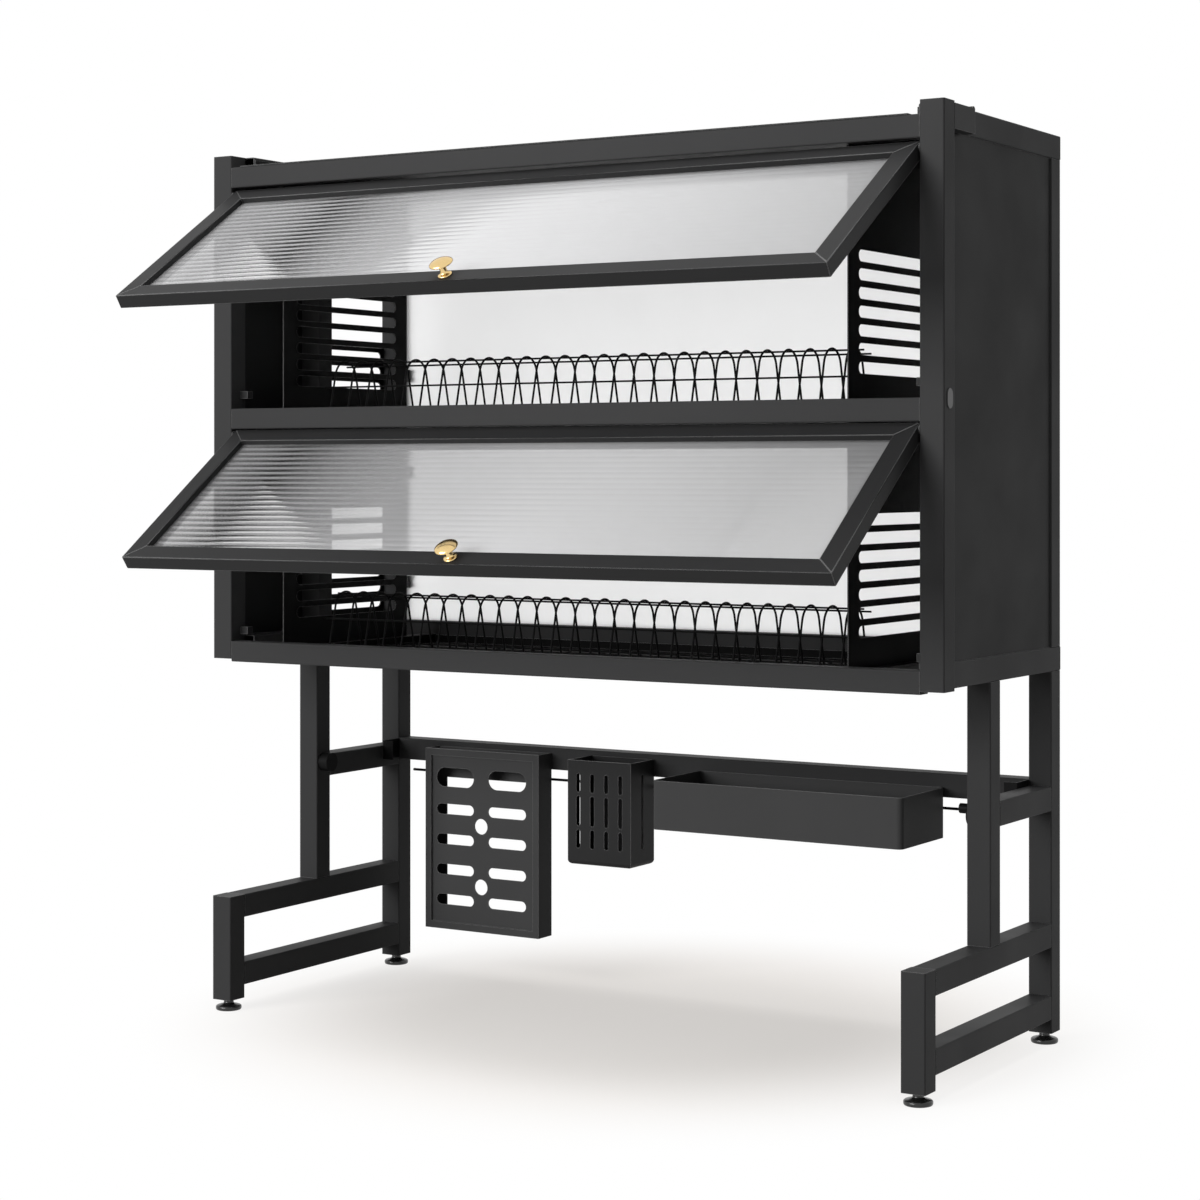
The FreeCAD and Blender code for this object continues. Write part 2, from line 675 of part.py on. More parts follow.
def top_corner_blocks():
    """The blocks outside the top side rails, behind the front posts, each with a round bump."""
    members = []
    for side in SIDES:
        width = "front_overhang"
        corner = (across(side, "frame_side", width), "post_back", "corner_block_bottom")
        block_body = new_body(f"{side}_corner_block", *corner)
        block(block_body, "Additive", "base", (width, "corner_block_length", "corner_block_height"))
        centre = ("0", "corner_block_length - corner_bump", "corner_block_height - corner_bump / 2")
        rod(block_body, "Additive", "bump", "corner_bump", width, "x", centre)
        members.append(block_body)
    group("top_corner_blocks", members)


# Cabinet skins

def roof():
    """The roof sheet, set down between the rails, with three upturned edges."""
    half = "inner_side - fit_gap"
    depth = "rear_front - fit_gap - front_rail_face"
    body = new_body("roof", f"-({half})", "front_rail_face", "roof_bottom")
    block(body, "Additive", "skin", (f"2 * ({half})", depth, "sheet_thickness"))
    start = "post_back - front_rail_face + fit_gap"
    for side, place in (("left", "0"), ("right", f"2 * ({half}) - sheet_thickness")):
        size = ("sheet_thickness", f"({depth}) - ({start})", "roof_flange")
        block(body, "Additive", f"{side}_edge", size, (place, start, "0"))
    size = (f"2 * ({half})", "sheet_thickness", "roof_flange")
    block(body, "Additive", "rear_edge", size, ("0", f"({depth}) - sheet_thickness", "0"))
    keep(body, "top_panel")


def side_panel(side, back):
    """A closed side sheet between the tubes."""
    place = across(side, "inset_side + sheet_thickness", "sheet_thickness")
    body = new_body(f"{side}_side_panel", place, "post_back", "bottom_rail_top")
    size = ("sheet_thickness", f"{back} - post_back", "top_rail_bottom - bottom_rail_top")
    block(body, "Additive", "skin", size)
    keep(body, f"{side}_side_panel")


def left_side_guards():
    """The low slotted sheets that close the foot of the open part of the left side."""
    members = []
    for tier in TIERS:
        bottom = "bottom_rail_top" if tier == "lower" else "upper_tier - guard_overlap"
        body = new_body(f"{tier}_guard", "-inset_side - sheet_thickness", "left_panel_back", bottom)
        height = f"{tier}_tier + guard_rise - ({bottom})"
        block(body, "Additive", "skin", ("sheet_thickness", "rear_front - left_panel_back", height))
        sketch = sketch_on(body, "slot", "YZ_Plane")
        level = f"{tier}_tier + first_slot - ({bottom})"
        length = "guard_slot_end - guard_slot_start"
        slot(sketch, "guard_slot_start - left_panel_back", level, length, "slot_height")
        cut = cut_through(body, sketch)
        repeat(body, cut, sketch, "V_Axis", "slot_pitch", "guard_slot_rows")
        members.append(body)
    group("left_side_guards", members)


def partition(side, tier):
    """One slotted sheet beside a plate rack, folded outwards at its foot and head."""
    bottom = f"{tier}_tier - bearer_drop"
    top = "upper_tier - bearer_drop - bearer_height" if tier == "lower" else "roof_bottom"
    height = f"({top}) - ({bottom})"
    depth = "partition_back - partition_front"
    place = "right_partition" if side == "right" else "-left_partition - sheet_thickness"
    body = new_body(f"{tier}_{side}_sheet", place, "partition_front", bottom)
    block(body, "Additive", "skin", ("sheet_thickness", depth, height))
    flange_start = "0" if side == "right" else "sheet_thickness - partition_flange"
    size = ("partition_flange", depth, "sheet_thickness")
    block(body, "Additive", "foot", size, (flange_start, "0", "0"))
    block(body, "Additive", "head", size, (flange_start, "0", f"{height} - sheet_thickness"))
    sketch = sketch_on(body, "slot", "YZ_Plane")
    level = "bearer_drop + first_slot"
    slot(sketch, "slot_front - partition_front", level, "slot_back - slot_front", "slot_height")
    cut = cut_through(body, sketch)
    repeat(body, cut, sketch, "V_Axis", "slot_pitch", "slot_rows")
    keep(body, f"{tier}_{side}_partition")


def back_panels():
    """The frosted panels between the rear posts and rails, one to a tier."""
    spans = (
        ("lower", "lower_back_bottom", "middle_rail_bottom"),
        ("upper", "middle_rail_top", "top_rail_bottom"),
    )
    members = []
    for tier, bottom, top in spans:
        body = new_body(f"{tier}_back_panel", "-back_panel_side", "back_panel_front", f"{bottom} + fit_gap")
        size = ("2 * back_panel_side", "back_panel_thickness", f"{top} - {bottom} - 2 * fit_gap")
        block(body, "Additive", "skin", size)
        members.append(body)
    group("back_panels", members)


def back_panel_clips():
    """Clips on the rear posts, each with a groove for a panel's side edge and a hole for its screw."""
    members = []
    for side in SIDES:
        for count, level in enumerate(CLIP_LEVELS):
            place = across(side, "inner_side", "clip_width")
            start = "back_panel_front - clip_lip"
            body = new_body(f"{side}_clip_{count}", place, start, f"{level} - clip_height / 2")
            block(body, "Additive", "base", ("clip_width", "clip_depth", "clip_height"))
            groove_start = "clip_web" if side == "left" else "-clip_web"
            groove_size = ("clip_width", "back_panel_thickness", "clip_height")
            block(body, "Subtractive", "groove", groove_size, (groove_start, "clip_lip", "0"))
            centre = ("0", f"clip_screw_plane - ({start})", "clip_height / 2")
            rod(body, "Subtractive", "hole", "screw_radius", "clip_width", "x", centre)
            members.append(body)
    group("back_panel_clips", members)


def frame_screws():
    """The clips' screws, each with a head inside the cabinet and a shank into the post."""
    members = []
    for side in SIDES:
        for count, level in enumerate(CLIP_LEVELS):
            body = new_body(f"{side}_screw_{count}", "0", "clip_screw_plane", level)
            shank = "clip_width + tube_wall"
            if side == "left":
                shank_start = "-inner_side - tube_wall"
                head_start = "-inner_side + clip_width"
            else:
                shank_start = "inner_side - clip_width"
                head_start = "inner_side - clip_width - screw_head"
            rod(body, "Additive", "shank", "screw_radius", shank, "x", (shank_start, "0", "0"))
            rod(body, "Additive", "head", "screw_head_radius", "screw_head", "x", (head_start, "0", "0"))
            members.append(body)
    group("frame_screws", members)


# Stand

def stand_tubes():
    """The stand's posts, uprights, legs and rails."""
    foot_size = ("tube", "tube", "foot_post_top - foot_height")
    side_pair("front_foot_posts", "body_side", ("stand_front", "foot_height"), foot_size, "z")
    upright_size = ("tube", "tube", "cabinet_bottom - foot_post_top")
    side_pair("front_uprights", "body_side", ("upright_front", "foot_post_top"), upright_size, "z")
    leg_size = ("tube", "tube", "cabinet_bottom - foot_height")
    side_pair("rear_legs", "body_side", ("rear_front", "foot_height"), leg_size, "z")
    rail_size = ("tube", "rear_front - stand_front - tube", "tube")
    rail_start = "stand_front + tube"
    side_pair("upper_stand_rails", "body_side", (rail_start, "foot_post_top - tube"), rail_size, "y")
    side_pair("lower_stand_rails", "body_side", (rail_start, "lower_rail_bottom"), rail_size, "y")
    middle_size = ("tube", "rear_front - upright_front - tube", "tube")
    middle_corner = ("upright_front + tube", "middle_stand_rail_bottom")
    side_pair("middle_stand_rails", "body_side", middle_corner, middle_size, "y")


def hanging_rod():
    """The thin rod under the back beam that the hung pieces hook over."""
    body = new_body("rod", "-rod_length / 2", "rod_plane", "rod_height")
    rod(body, "Additive", "bar", "rod_radius", "rod_length", "x")
    keep(body, "hanging_rod")


def wall_pegs():
    """The pegs on the inner faces of the front uprights: a plain one left, a stub on a round plate right."""
    middle = "upright_front + tube / 2"
    left = new_body("left_peg", "-inner_side", middle, "peg_height")
    rod(left, "Additive", "bar", "peg_radius", "peg_length", "x")
    right = new_body("right_peg", "inner_side", middle, "peg_height")
    plate_start = ("-peg_plate", "0", "-peg_plate_drop")
    rod(right, "Additive", "plate", "peg_radius", "peg_plate", "x", plate_start)
    rod(right, "Additive", "stub", "peg_stub_radius", "peg_length", "x", ("-peg_length", "0", "0"))
    return [left, right]


def angle_bracket(side):
    """A bent plate: one leg on the middle rail's inner face, one across in front."""
    place = "-inner_side" if side == "left" else "inner_side - angle_width"
    body = new_body(f"{side}_angle", place, "angle_front", "angle_bottom")
    block(body, "Additive", "front_leg", ("angle_width", "sheet_thickness", "angle_height"))
    leg_start = "0" if side == "left" else "angle_width - sheet_thickness"
    size = ("sheet_thickness", "rear_front - angle_front", "angle_height")
    block(body, "Additive", "side_leg", size, (leg_start, "0", "0"))
    return body


def rod_hanger(side):
    """A block under the beam with a hole for the hanging rod."""
    sign = "-" if side == "left" else ""
    rim = "(rod_radius + hanger_rim)"
    corner = (f"{sign}hanger_offset - hanger_width / 2", f"rod_plane - {rim}", f"rod_height - {rim}")
    body = new_body(f"{side}_hanger", *corner)
    block(body, "Additive", "base", ("hanger_width", f"2 * {rim}", f"beam_bottom - rod_height + {rim}"))
    rod(body, "Subtractive", "hole", "rod_radius", "hanger_width", "x", ("0", rim, rim))
    return body


def stand_brackets():
    """Pegs on the uprights, angle brackets on the middle rails and the hanging rod's hangers."""
    members = wall_pegs()
    for side in SIDES:
        members += [angle_bracket(side), rod_hanger(side)]
    group("stand_brackets", members)


def foot_inserts():
    """The blocks inside the legs that the feet's stems turn in."""
    inner = "tube - 2 * tube_wall"
    members = []
    for name, x, y in LEG_PLACES:
        corner = (f"{x} - ({inner}) / 2", f"{y} - ({inner}) / 2", "foot_height")
        body = new_body(f"{name}_insert", *corner)
        block(body, "Additive", "base", (inner, inner, "insert_height"))
        centre = (f"({inner}) / 2", f"({inner}) / 2", "0")
        rod(body, "Subtractive", "thread", "stem_radius + running_gap", "insert_height", "z", centre)
        members.append(body)
    group("foot_inserts", members)


def levelling_foot(name, x, y):
    """One foot: a round pad with a crown and a stem."""
    body = new_body(f"{name}_turned", x, y, "0")
    sketch = sketch_on(body, "half", "XZ_Plane")
    outline(sketch, (
        ("0", "0"),
        ("pad_radius", "0"),
        ("pad_radius", "pad_height"),
        ("stem_radius + stem_collar", "pad_crown"),
        ("stem_radius", "pad_crown"),
        ("stem_radius", "pad_crown + stem_length"),
        ("0", "pad_crown + stem_length"),
    ))
    turned(body, sketch)
    keep(body, f"{name}_foot")


# Plate racks and drip trays

def rack_numbers():
    """The rack sizes, read from the sheet."""
    names = (
        "arch_count", "arch_pitch", "arch_rise", "arch_radius", "arch_row", "leg_lean", "wire_radius",
        "tie_radius", "front_tie_drop", "rear_tie_drop", "rack_front", "rack_back", "rack_half_length",
        "rack_middle", "cross_wire_count",
    )
    return {name: number(name) for name in names}


def straight_wire(start, end, radius):
    """A straight round wire between two points."""
    return Part.makeCylinder(radius, (end - start).Length, start, end - start)


def leg_distance(top, level, sizes):
    """How far an arch's leg is from the row's middle at a level."""
    lean = math.radians(sizes["leg_lean"])
    shoulder = top - sizes["arch_radius"] * (1 - math.sin(lean))
    return sizes["arch_radius"] * math.cos(lean) + (shoulder - level) * math.tan(lean)


def bent_arch(x, top, foot, sizes):
    """One arch: two leaning legs and a round top, with the legs' ends on the foot rods."""
    radius = sizes["arch_radius"]
    lean = math.radians(sizes["leg_lean"])
    middle = sizes["arch_row"]
    shoulder = top - radius * (1 - math.sin(lean))
    spread = leg_distance(top, foot, sizes)
    lift = sizes["wire_radius"]
    ends = []
    shoulders = []
    for sign in (-1, 1):
        ends.append(V(x, middle + sign * (spread - lift * math.sin(lean)), foot + lift * math.cos(lean)))
        shoulders.append(V(x, middle + sign * radius * math.cos(lean), shoulder))
    crown = Part.Arc(shoulders[0], V(x, middle, top), shoulders[1]).toShape()
    legs = [Part.makeLine(ends[0], shoulders[0]), Part.makeLine(shoulders[1], ends[1])]
    path = Part.Wire([legs[0], crown, legs[1]])
    profile = Part.Wire([Part.makeCircle(sizes["wire_radius"], ends[0], shoulders[0] - ends[0])])
    return path.makePipeShell([profile], True, False)


def tie_lines(top, sizes):
    """Place along Y and level of the thin rods: under the arches' tops, outside the front legs and behind."""
    lean = math.radians(sizes["leg_lean"])
    row = sizes["arch_row"]
    touch = sizes["wire_radius"] + sizes["tie_radius"]
    front_level = top - sizes["front_tie_drop"]
    front = row - leg_distance(top, front_level, sizes) - touch / math.cos(lean)
    rear_drop = sizes["arch_radius"] - sizes["rear_tie_drop"]
    rear = row + math.sqrt((sizes["arch_radius"] + touch) ** 2 - rear_drop ** 2)
    return ((row, top - touch), (front, front_level), (rear, top - sizes["rear_tie_drop"]))


def plate_rack(tier):
    """One wire rack: a row of arches, their tie rods and a base of rods on cross wires."""
    sizes = rack_numbers()
    wire = sizes["wire_radius"]
    tier_level = number(f"{tier}_tier")
    cross_level = tier_level + number("fit_gap + sheet_thickness - drip_drop") + wire
    rod_level = cross_level + 2 * wire
    top = tier_level + sizes["arch_rise"] - wire
    left = sizes["rack_middle"] - sizes["rack_half_length"]
    right = sizes["rack_middle"] + sizes["rack_half_length"]
    first = sizes["rack_middle"] - sizes["arch_pitch"] * (sizes["arch_count"] - 1) / 2
    pieces = [
        bent_arch(first + count * sizes["arch_pitch"], top, rod_level, sizes)
        for count in range(int(sizes["arch_count"]))
    ]
    spread = leg_distance(top, rod_level, sizes)
    foot_line = sizes["arch_row"] + spread
    between = (foot_line + sizes["rack_back"]) / 2
    for line in (sizes["rack_front"], sizes["arch_row"] - spread, foot_line, between, sizes["rack_back"]):
        pieces.append(straight_wire(V(left, line, rod_level), V(right, line, rod_level), wire))
    for line, level in tie_lines(top, sizes):
        pieces.append(straight_wire(V(left, line, level), V(right, line, level), sizes["tie_radius"]))
    step = (right - left - 2 * wire) / (sizes["cross_wire_count"] - 1)
    for count in range(int(sizes["cross_wire_count"])):
        place = left + wire + count * step
        start = V(place, sizes["rack_front"] - wire, cross_level)
        end = V(place, sizes["rack_back"] + wire, cross_level)
        pieces.append(straight_wire(start, end, wire))
    rack = DOC.addObject("Part::Feature", f"{tier}_rack")
    rack.Shape = Part.makeCompound(pieces)
    keep(rack, f"{tier}_plate_rack")


def drip_tray(tier):
    """One shallow tray whose rim lies on the bearers."""
    left = "left_bearer + bearer_width + fit_gap"
    width = f"right_bearer - fit_gap - ({left})"
    depth = "drip_back - drip_front"
    height = "drip_drop - bearer_drop"
    body = new_body(f"{tier}_tray", left, "drip_front", f"{tier}_tier - drip_drop")
    block(body, "Additive", "outer", (width, depth, height))
    inner = (f"{width} - 2 * sheet_thickness", f"{depth} - 2 * sheet_thickness", height)
    block(body, "Subtractive", "inside", inner, ("sheet_thickness", "sheet_thickness", "sheet_thickness"))
    rim_size = ("drip_rim + sheet_thickness", depth, "sheet_thickness")
    for side, place in (("left", "-drip_rim"), ("right", f"{width} - sheet_thickness")):
        block(body, "Additive", f"{side}_rim", rim_size, (place, "0", height))
    keep(body, f"{tier}_drip_tray")


# Doors

def door_body(tier, name):
    """An empty body in a door's own frame: its origin is on the hinge axis, and it turns with the door."""
    body = DOC.addObject("PartDesign::Body", f"{tier}_{name}")
    body.Placement = FreeCAD.Placement(V(), FreeCAD.Rotation(V(-1, 0, 0), START_ANGLE))
    put(body, "0", "pin_plane", f"{tier}_pin")
    bind(body, "Placement.Rotation.Angle", f"{tier}_door_angle")
    return body


def door_bar(tier, name, outer, inner, slot_corner, slot_size, along):
    """One mitred hollow bar of a door frame, with a slot for the panel's edge in its inner wall."""
    body = door_body(tier, name)
    face = sketch_on(body, "face", "XZ_Plane", "-door_back")
    outline(face, outer)
    solid = pad(body, face, "door_thickness")
    front = number("-pin_inset") + EDGE_TOLERANCE

    def outer_edge(edge):
        return runs_along(edge, along) and edge.CenterOfMass.y < front

    round_edges(body, solid, "door_edge_round", outer_edge)
    hollow = sketch_on(body, "hollow", "XZ_Plane", "door_wall - door_back")
    outline(hollow, inner)
    cut = body.newObject("PartDesign::Pocket", "inside")
    cut.Profile = hollow
    cut.Reversed = True
    bind(cut, "Length", "door_thickness - 2 * door_wall")
    body.Tip = cut
    block(body, "Subtractive", "panel_slot", slot_size, slot_corner)
    return body


def door_frame(tier):
    """The four mitred bars of one door."""
    side = "door_side"
    top = "pin_inset"
    low = f"pin_inset - {tier}_door_height"
    slot_depth = "panel_tuck + panel_slot_gap"
    slot_y = "panel_front - panel_slot_gap"
    slot_thick = "panel_thickness + 2 * panel_slot_gap"
    opening = f"{side} - door_profile"
    slot_width = f"2 * ({opening} + {slot_depth})"
    slot_low = f"{low} + door_profile - ({slot_depth})"
    slot_height = f"{tier}_door_height - 2 * door_profile + 2 * ({slot_depth})"

    def trapezium(inset, level, sign):
        """Corners of a top or bottom bar, or of its hollow, between two levels."""
        near = f"{level} - {sign} * ({inset})"
        far = f"{level} - {sign} * (door_profile - ({inset}))"
        wide = f"{side} - ({inset})"
        narrow = f"{side} - door_profile + ({inset})"
        return ((f"-({wide})", near), (wide, near), (narrow, far), (f"-({narrow})", far))

    def upright(inset, sign):
        """Corners of a side bar, or of its hollow."""
        wide = f"{sign} * ({side} - ({inset}))"
        narrow = f"{sign} * ({side} - door_profile + ({inset}))"
        return (
            (wide, f"{top} - ({inset})"),
            (wide, f"{low} + ({inset})"),
            (narrow, f"{low} + door_profile - ({inset})"),
            (narrow, f"{top} - door_profile + ({inset})"),
        )

    members = []
    lying = (("top_bar", top, 1, f"{top} - door_profile"), ("bottom_bar", low, -1, slot_low))
    for name, level, sign, start in lying:
        corner = (f"-({opening}) - ({slot_depth})", slot_y, start)
        size = (slot_width, slot_thick, slot_depth)
        outer = trapezium("0", level, sign)
        inner = trapezium("door_wall", level, sign)
        members.append(door_bar(tier, name, outer, inner, corner, size, "x"))
    for name, sign in (("left_bar", -1), ("right_bar", 1)):
        start = f"-({opening}) - ({slot_depth})" if sign < 0 else opening
        size = (slot_depth, slot_thick, slot_height)
        corner = (start, slot_y, slot_low)
        bar = door_bar(tier, name, upright("0", sign), upright("door_wall", sign), corner, size, "z")
        pin_start = "-door_side" if sign < 0 else "door_side - pin_hold"
        rod(bar, "Subtractive", "pin_hole", "pin_radius", "pin_hold", "x", (pin_start, "0", "0"))
        members.append(bar)
    group(f"{tier}_door_frame", members)


def door_corner_keys(tier):
    """The angle pieces inside a door's mitred corners; the upper two hold the hinge pins."""
    members = []
    arm = "door_profile - door_wall - panel_tuck - fit_gap"
    ends = (
        ("top", "pin_inset - door_wall", 1),
        ("bottom", f"pin_inset - {tier}_door_height + door_wall", -1),
    )
    for level_name, level, down in ends:
        for side, sign in (("left", -1), ("right", 1)):
            body = door_body(tier, f"{side}_{level_name}_key")
            edge = "door_side - door_wall"
            sketch = sketch_on(body, "angle", "XZ_Plane", "door_wall - door_back")
            outline(sketch, (
                (f"{sign} * ({edge})", level),
                (f"{sign} * ({edge} - key_length)", level),
                (f"{sign} * ({edge} - key_length)", f"{level} - {down} * ({arm})"),
                (f"{sign} * ({edge} - ({arm}))", f"{level} - {down} * ({arm})"),
                (f"{sign} * ({edge} - ({arm}))", f"{level} - {down} * key_length"),
                (f"{sign} * ({edge})", f"{level} - {down} * key_length"),
            ))
            pad(body, sketch, "door_thickness - 2 * door_wall")
            if level_name == "top":
                start = "-door_side" if side == "left" else "door_side - pin_hold"
                rod(body, "Subtractive", "pin_hole", "pin_radius", "pin_hold", "x", (start, "0", "0"))
            members.append(body)
    group(f"{tier}_door_corner_keys", members)


def door_panel(tier):
    """The translucent sheet of one door, with half-round ribs across its outer face."""
    body = door_body(tier, "sheet")
    half = "door_side - door_profile + panel_tuck"
    low = f"pin_inset - {tier}_door_height + door_profile - panel_tuck"
    height = f"{tier}_door_height - 2 * door_profile + 2 * panel_tuck"
    corner = (f"-({half})", "panel_front", low)
    block(body, "Additive", "skin", (f"2 * ({half})", "panel_thickness", height), corner)
    sketch = sketch_on(body, "rib", "YZ_Plane")
    rib_outline(sketch, f"pin_inset - {tier}_door_height + door_profile + rib_start")
    rib = pad(body, sketch, "2 * (door_side - door_profile - rib_end_gap)", "rib_bar", midplane=True)
    rib_count = f"floor(({tier}_door_height - 2 * door_profile - 2 * rib_start) / rib_pitch) + 1"
    repeat(body, rib, sketch, "V_Axis", "rib_pitch", rib_count, "ribs")
    keep(body, f"{tier}_door_panel")


def rib_outline(sketch, middle):
    """A flat base and a bowed outer side."""
    half = number("rib_width / 2")
    rise = number("rib_height")
    base = number("panel_front")
    level = number(middle)
    start = V(base, level - half, 0)
    end = V(base, level + half, 0)
    arc = Part.Arc(start, V(base - rise, level, 0), end)
    edges = sketch.addGeometry([Part.LineSegment(end, start), arc], False)
    chord, bow = edges
    bow_start, bow_end = (1, 2) if is_start(sketch, bow, end) else (2, 1)
    sketch.addConstraint(Sketcher.Constraint("Coincident", chord, 1, bow, bow_start))
    sketch.addConstraint(Sketcher.Constraint("Coincident", chord, 2, bow, bow_end))
    fix_point(sketch, chord, 1, "panel_front", f"{middle} + rib_width / 2")
    fix_point(sketch, chord, 2, "panel_front", f"{middle} - rib_width / 2")
    radius = "(rib_width ^ 2 / 4 + rib_height ^ 2) / (2 * rib_height)"
    count = sketch.addConstraint(Sketcher.Constraint("Radius", bow, number(radius)))
    bind(sketch, f"Constraints[{count}]", radius)


def is_start(sketch, edge, point):
    """Whether a sketch edge begins at a point."""
    return (sketch.getPoint(edge, 1) - point).Length < NO_LENGTH


def hinge_pins(tier):
    """The two pins on which one door turns."""
    members = []
    for side in SIDES:
        body = door_body(tier, f"{side}_pin")
        length = "pin_hold + pin_reach"
        start = "-door_side - pin_reach" if side == "left" else "door_side - pin_hold"
        rod(body, "Additive", "bar", "pin_radius", length, "x", (start, "0", "0"))
        members.append(body)
    group(f"{tier}_hinge_pins", members)


def knob(tier):
    """A turned knob: a round foot, a waisted stem and a domed disc."""
    body = door_body(tier, "turned_knob")
    level = f"pin_inset - {tier}_door_height + knob_edge"
    sketch = sketch_on(body, "half", "XY_Plane", level)
    face = "-pin_inset"
    outline(sketch, (
        ("0", face),
        ("knob_flange_radius", face),
        ("knob_flange_radius", f"{face} - knob_flange / 2"),
        ("knob_stem_radius", f"{face} - knob_flange"),
        ("knob_stem_radius", f"{face} - knob_disc_start + knob_rim"),
        ("knob_disc_radius", f"{face} - knob_disc_start"),
        ("knob_disc_radius", f"{face} - knob_disc_start - knob_rim"),
        ("knob_dome_radius", f"{face} - knob_projection + knob_dome_drop"),
        ("knob_crown_radius", f"{face} - knob_projection + knob_crown_drop"),
        ("0", f"{face} - knob_projection"),
    ))
    turned(body, sketch)
    keep(body, f"{tier}_knob")


def hinge_bushes():
    """The bushes in the front posts, with a flange in the gap beside each door."""
    members = []
    for tier in TIERS:
        for side in SIDES:
            body = new_body(f"{side}_{tier}_bush", "0", "pin_plane", f"{tier}_pin")
            if side == "left":
                sleeve_start = "-frame_inner - bush_length"
                flange_start = "-frame_inner"
            else:
                sleeve_start = "frame_inner"
                flange_start = "frame_inner - bush_flange"
            start = (sleeve_start, "0", "0")
            rod(body, "Additive", "sleeve", "bush_radius", "bush_length", "x", start)
            corner = (flange_start, "0", "0")
            rod(body, "Additive", "flange", "bush_flange_radius", "bush_flange", "x", corner)
            bore_start = sleeve_start if side == "left" else flange_start
            length = "bush_length + bush_flange"
            rod(body, "Subtractive", "bore", "pin_radius + running_gap", length, "x", (bore_start, "0", "0"))
            members.append(body)
    group("hinge_bushes", members)


def door_stops():
    """Blocks on the front posts that the closed doors' lower corners rest against."""
    members = []
    for tier in TIERS:
        for side in SIDES:
            level = f"{tier}_pin + pin_inset - {tier}_door_height + stop_rise"
            place = across(side, "frame_inner", "stop_width")
            start = "front_rail_face + door_thickness + fit_gap"
            body = new_body(f"{side}_{tier}_stop", place, start, level)
            block(body, "Additive", "base", ("stop_width", "stop_depth", "stop_height"))
            members.append(body)
    group("door_stops", members)


# Hung pieces

def hook(body, name, place, back):
    """A strip from a piece's back wall over the rod, with a short tip behind it."""
    length = "rod_setback + rod_radius + hook_tip_gap + hook_thickness + fit_gap + hung_wall"
    strap = ("hook_width", length, "hook_thickness")
    bottom = f"{name}_bottom"
    strap_corner = (place[1], f"{back} - hung_wall", f"rod_top + hook_gap - {bottom}")
    block(body, "Additive", f"strap_{place[0]}", strap, strap_corner)
    tip_height = "hook_gap + hook_thickness + hook_tip_drop"
    tip = ("hook_width", "hook_thickness", tip_height)
    tip_start = f"{back} - hung_wall + {length} - hook_thickness"
    tip_corner = (place[1], tip_start, f"rod_top - hook_tip_drop - {bottom}")
    block(body, "Additive", f"tip_{place[0]}", tip, tip_corner)


def hooks(body, name):
    """The two hooks of one hung piece."""
    back = f"{name}_depth"
    places = (("left", "hook_inset"), ("right", f"{name}_width - hook_inset - hook_width"))
    for place in places:
        hook(body, name, place, back)


def hung_box(name):
    """The outer box of a hung piece, its back just in front of the legs' plane."""
    body = new_body(f"{name}_box", f"{name}_left", f"hung_back - {name}_depth", f"{name}_bottom")
    outer = block(body, "Additive", "outer", (f"{name}_width", f"{name}_depth", f"{name}_height"))
    return body, outer


def board_rack():
    """The flat rack for boards: a slotted face behind a rim, open at the top and at the back."""
    body, _ = hung_box("board")
    face = "board_recess + hung_wall"
    inside = ("board_width - 2 * hung_wall", f"board_depth - ({face}) - hung_wall", "board_height")
    block(body, "Subtractive", "inside", inside, ("hung_wall", face, "hung_wall"))
    recess = ("board_width - 2 * board_rim", "board_recess", "board_height - 2 * board_rim")
    block(body, "Subtractive", "recess", recess, ("board_rim", "0", "board_rim"))
    window = (
        "board_width - 2 * board_back_frame",
        "2 * hung_wall",
        "board_height - board_back_frame - board_back_top",
    )
    window_corner = ("board_back_frame", "board_depth - 2 * hung_wall", "board_back_frame")
    block(body, "Subtractive", "window", window, window_corner)
    middle = "board_width / 2 - board_slot_shift"
    left_start = f"{middle} - board_slot_gap / 2 - board_slot_length"
    right_start = f"{middle} + board_slot_gap / 2"
    low = sketch_on(body, "slots", "XZ_Plane")
    high = sketch_on(body, "top_slots", "XZ_Plane")
    high_level = "board_first_slot + board_slot_pitch * board_slot_rows + board_top_rise"
    for start in (left_start, right_start):
        slot(low, start, "board_first_slot", "board_slot_length", "board_slot_height")
        slot(high, start, high_level, "board_slot_length", "board_top_slot_height")
    front_cut(body, low, face, "low_slots", ("V_Axis", "board_slot_pitch", "board_slot_rows"))
    front_cut(body, high, face, "high_slots")
    for row in BOARD_HOLE_ROWS:
        level = f"board_first_slot + board_slot_pitch * (2 * {row} + 1) / 2"
        centre = (middle, "0", level)
        rod(body, "Subtractive", f"hole_{row}", "board_hole_radius", face, "y", centre)
    hooks(body, "board")
    keep(body, "board_rack")


def front_cut(body, sketch, depth, name, rows=None):
    """Cut a sketch on the front plane backwards by a depth, and repeat it in rows."""
    cut = body.newObject("PartDesign::Pocket", name)
    cut.Profile = sketch
    bind(cut, "Length", depth)
    body.Tip = cut
    if rows:
        repeat(body, cut, sketch, *rows)


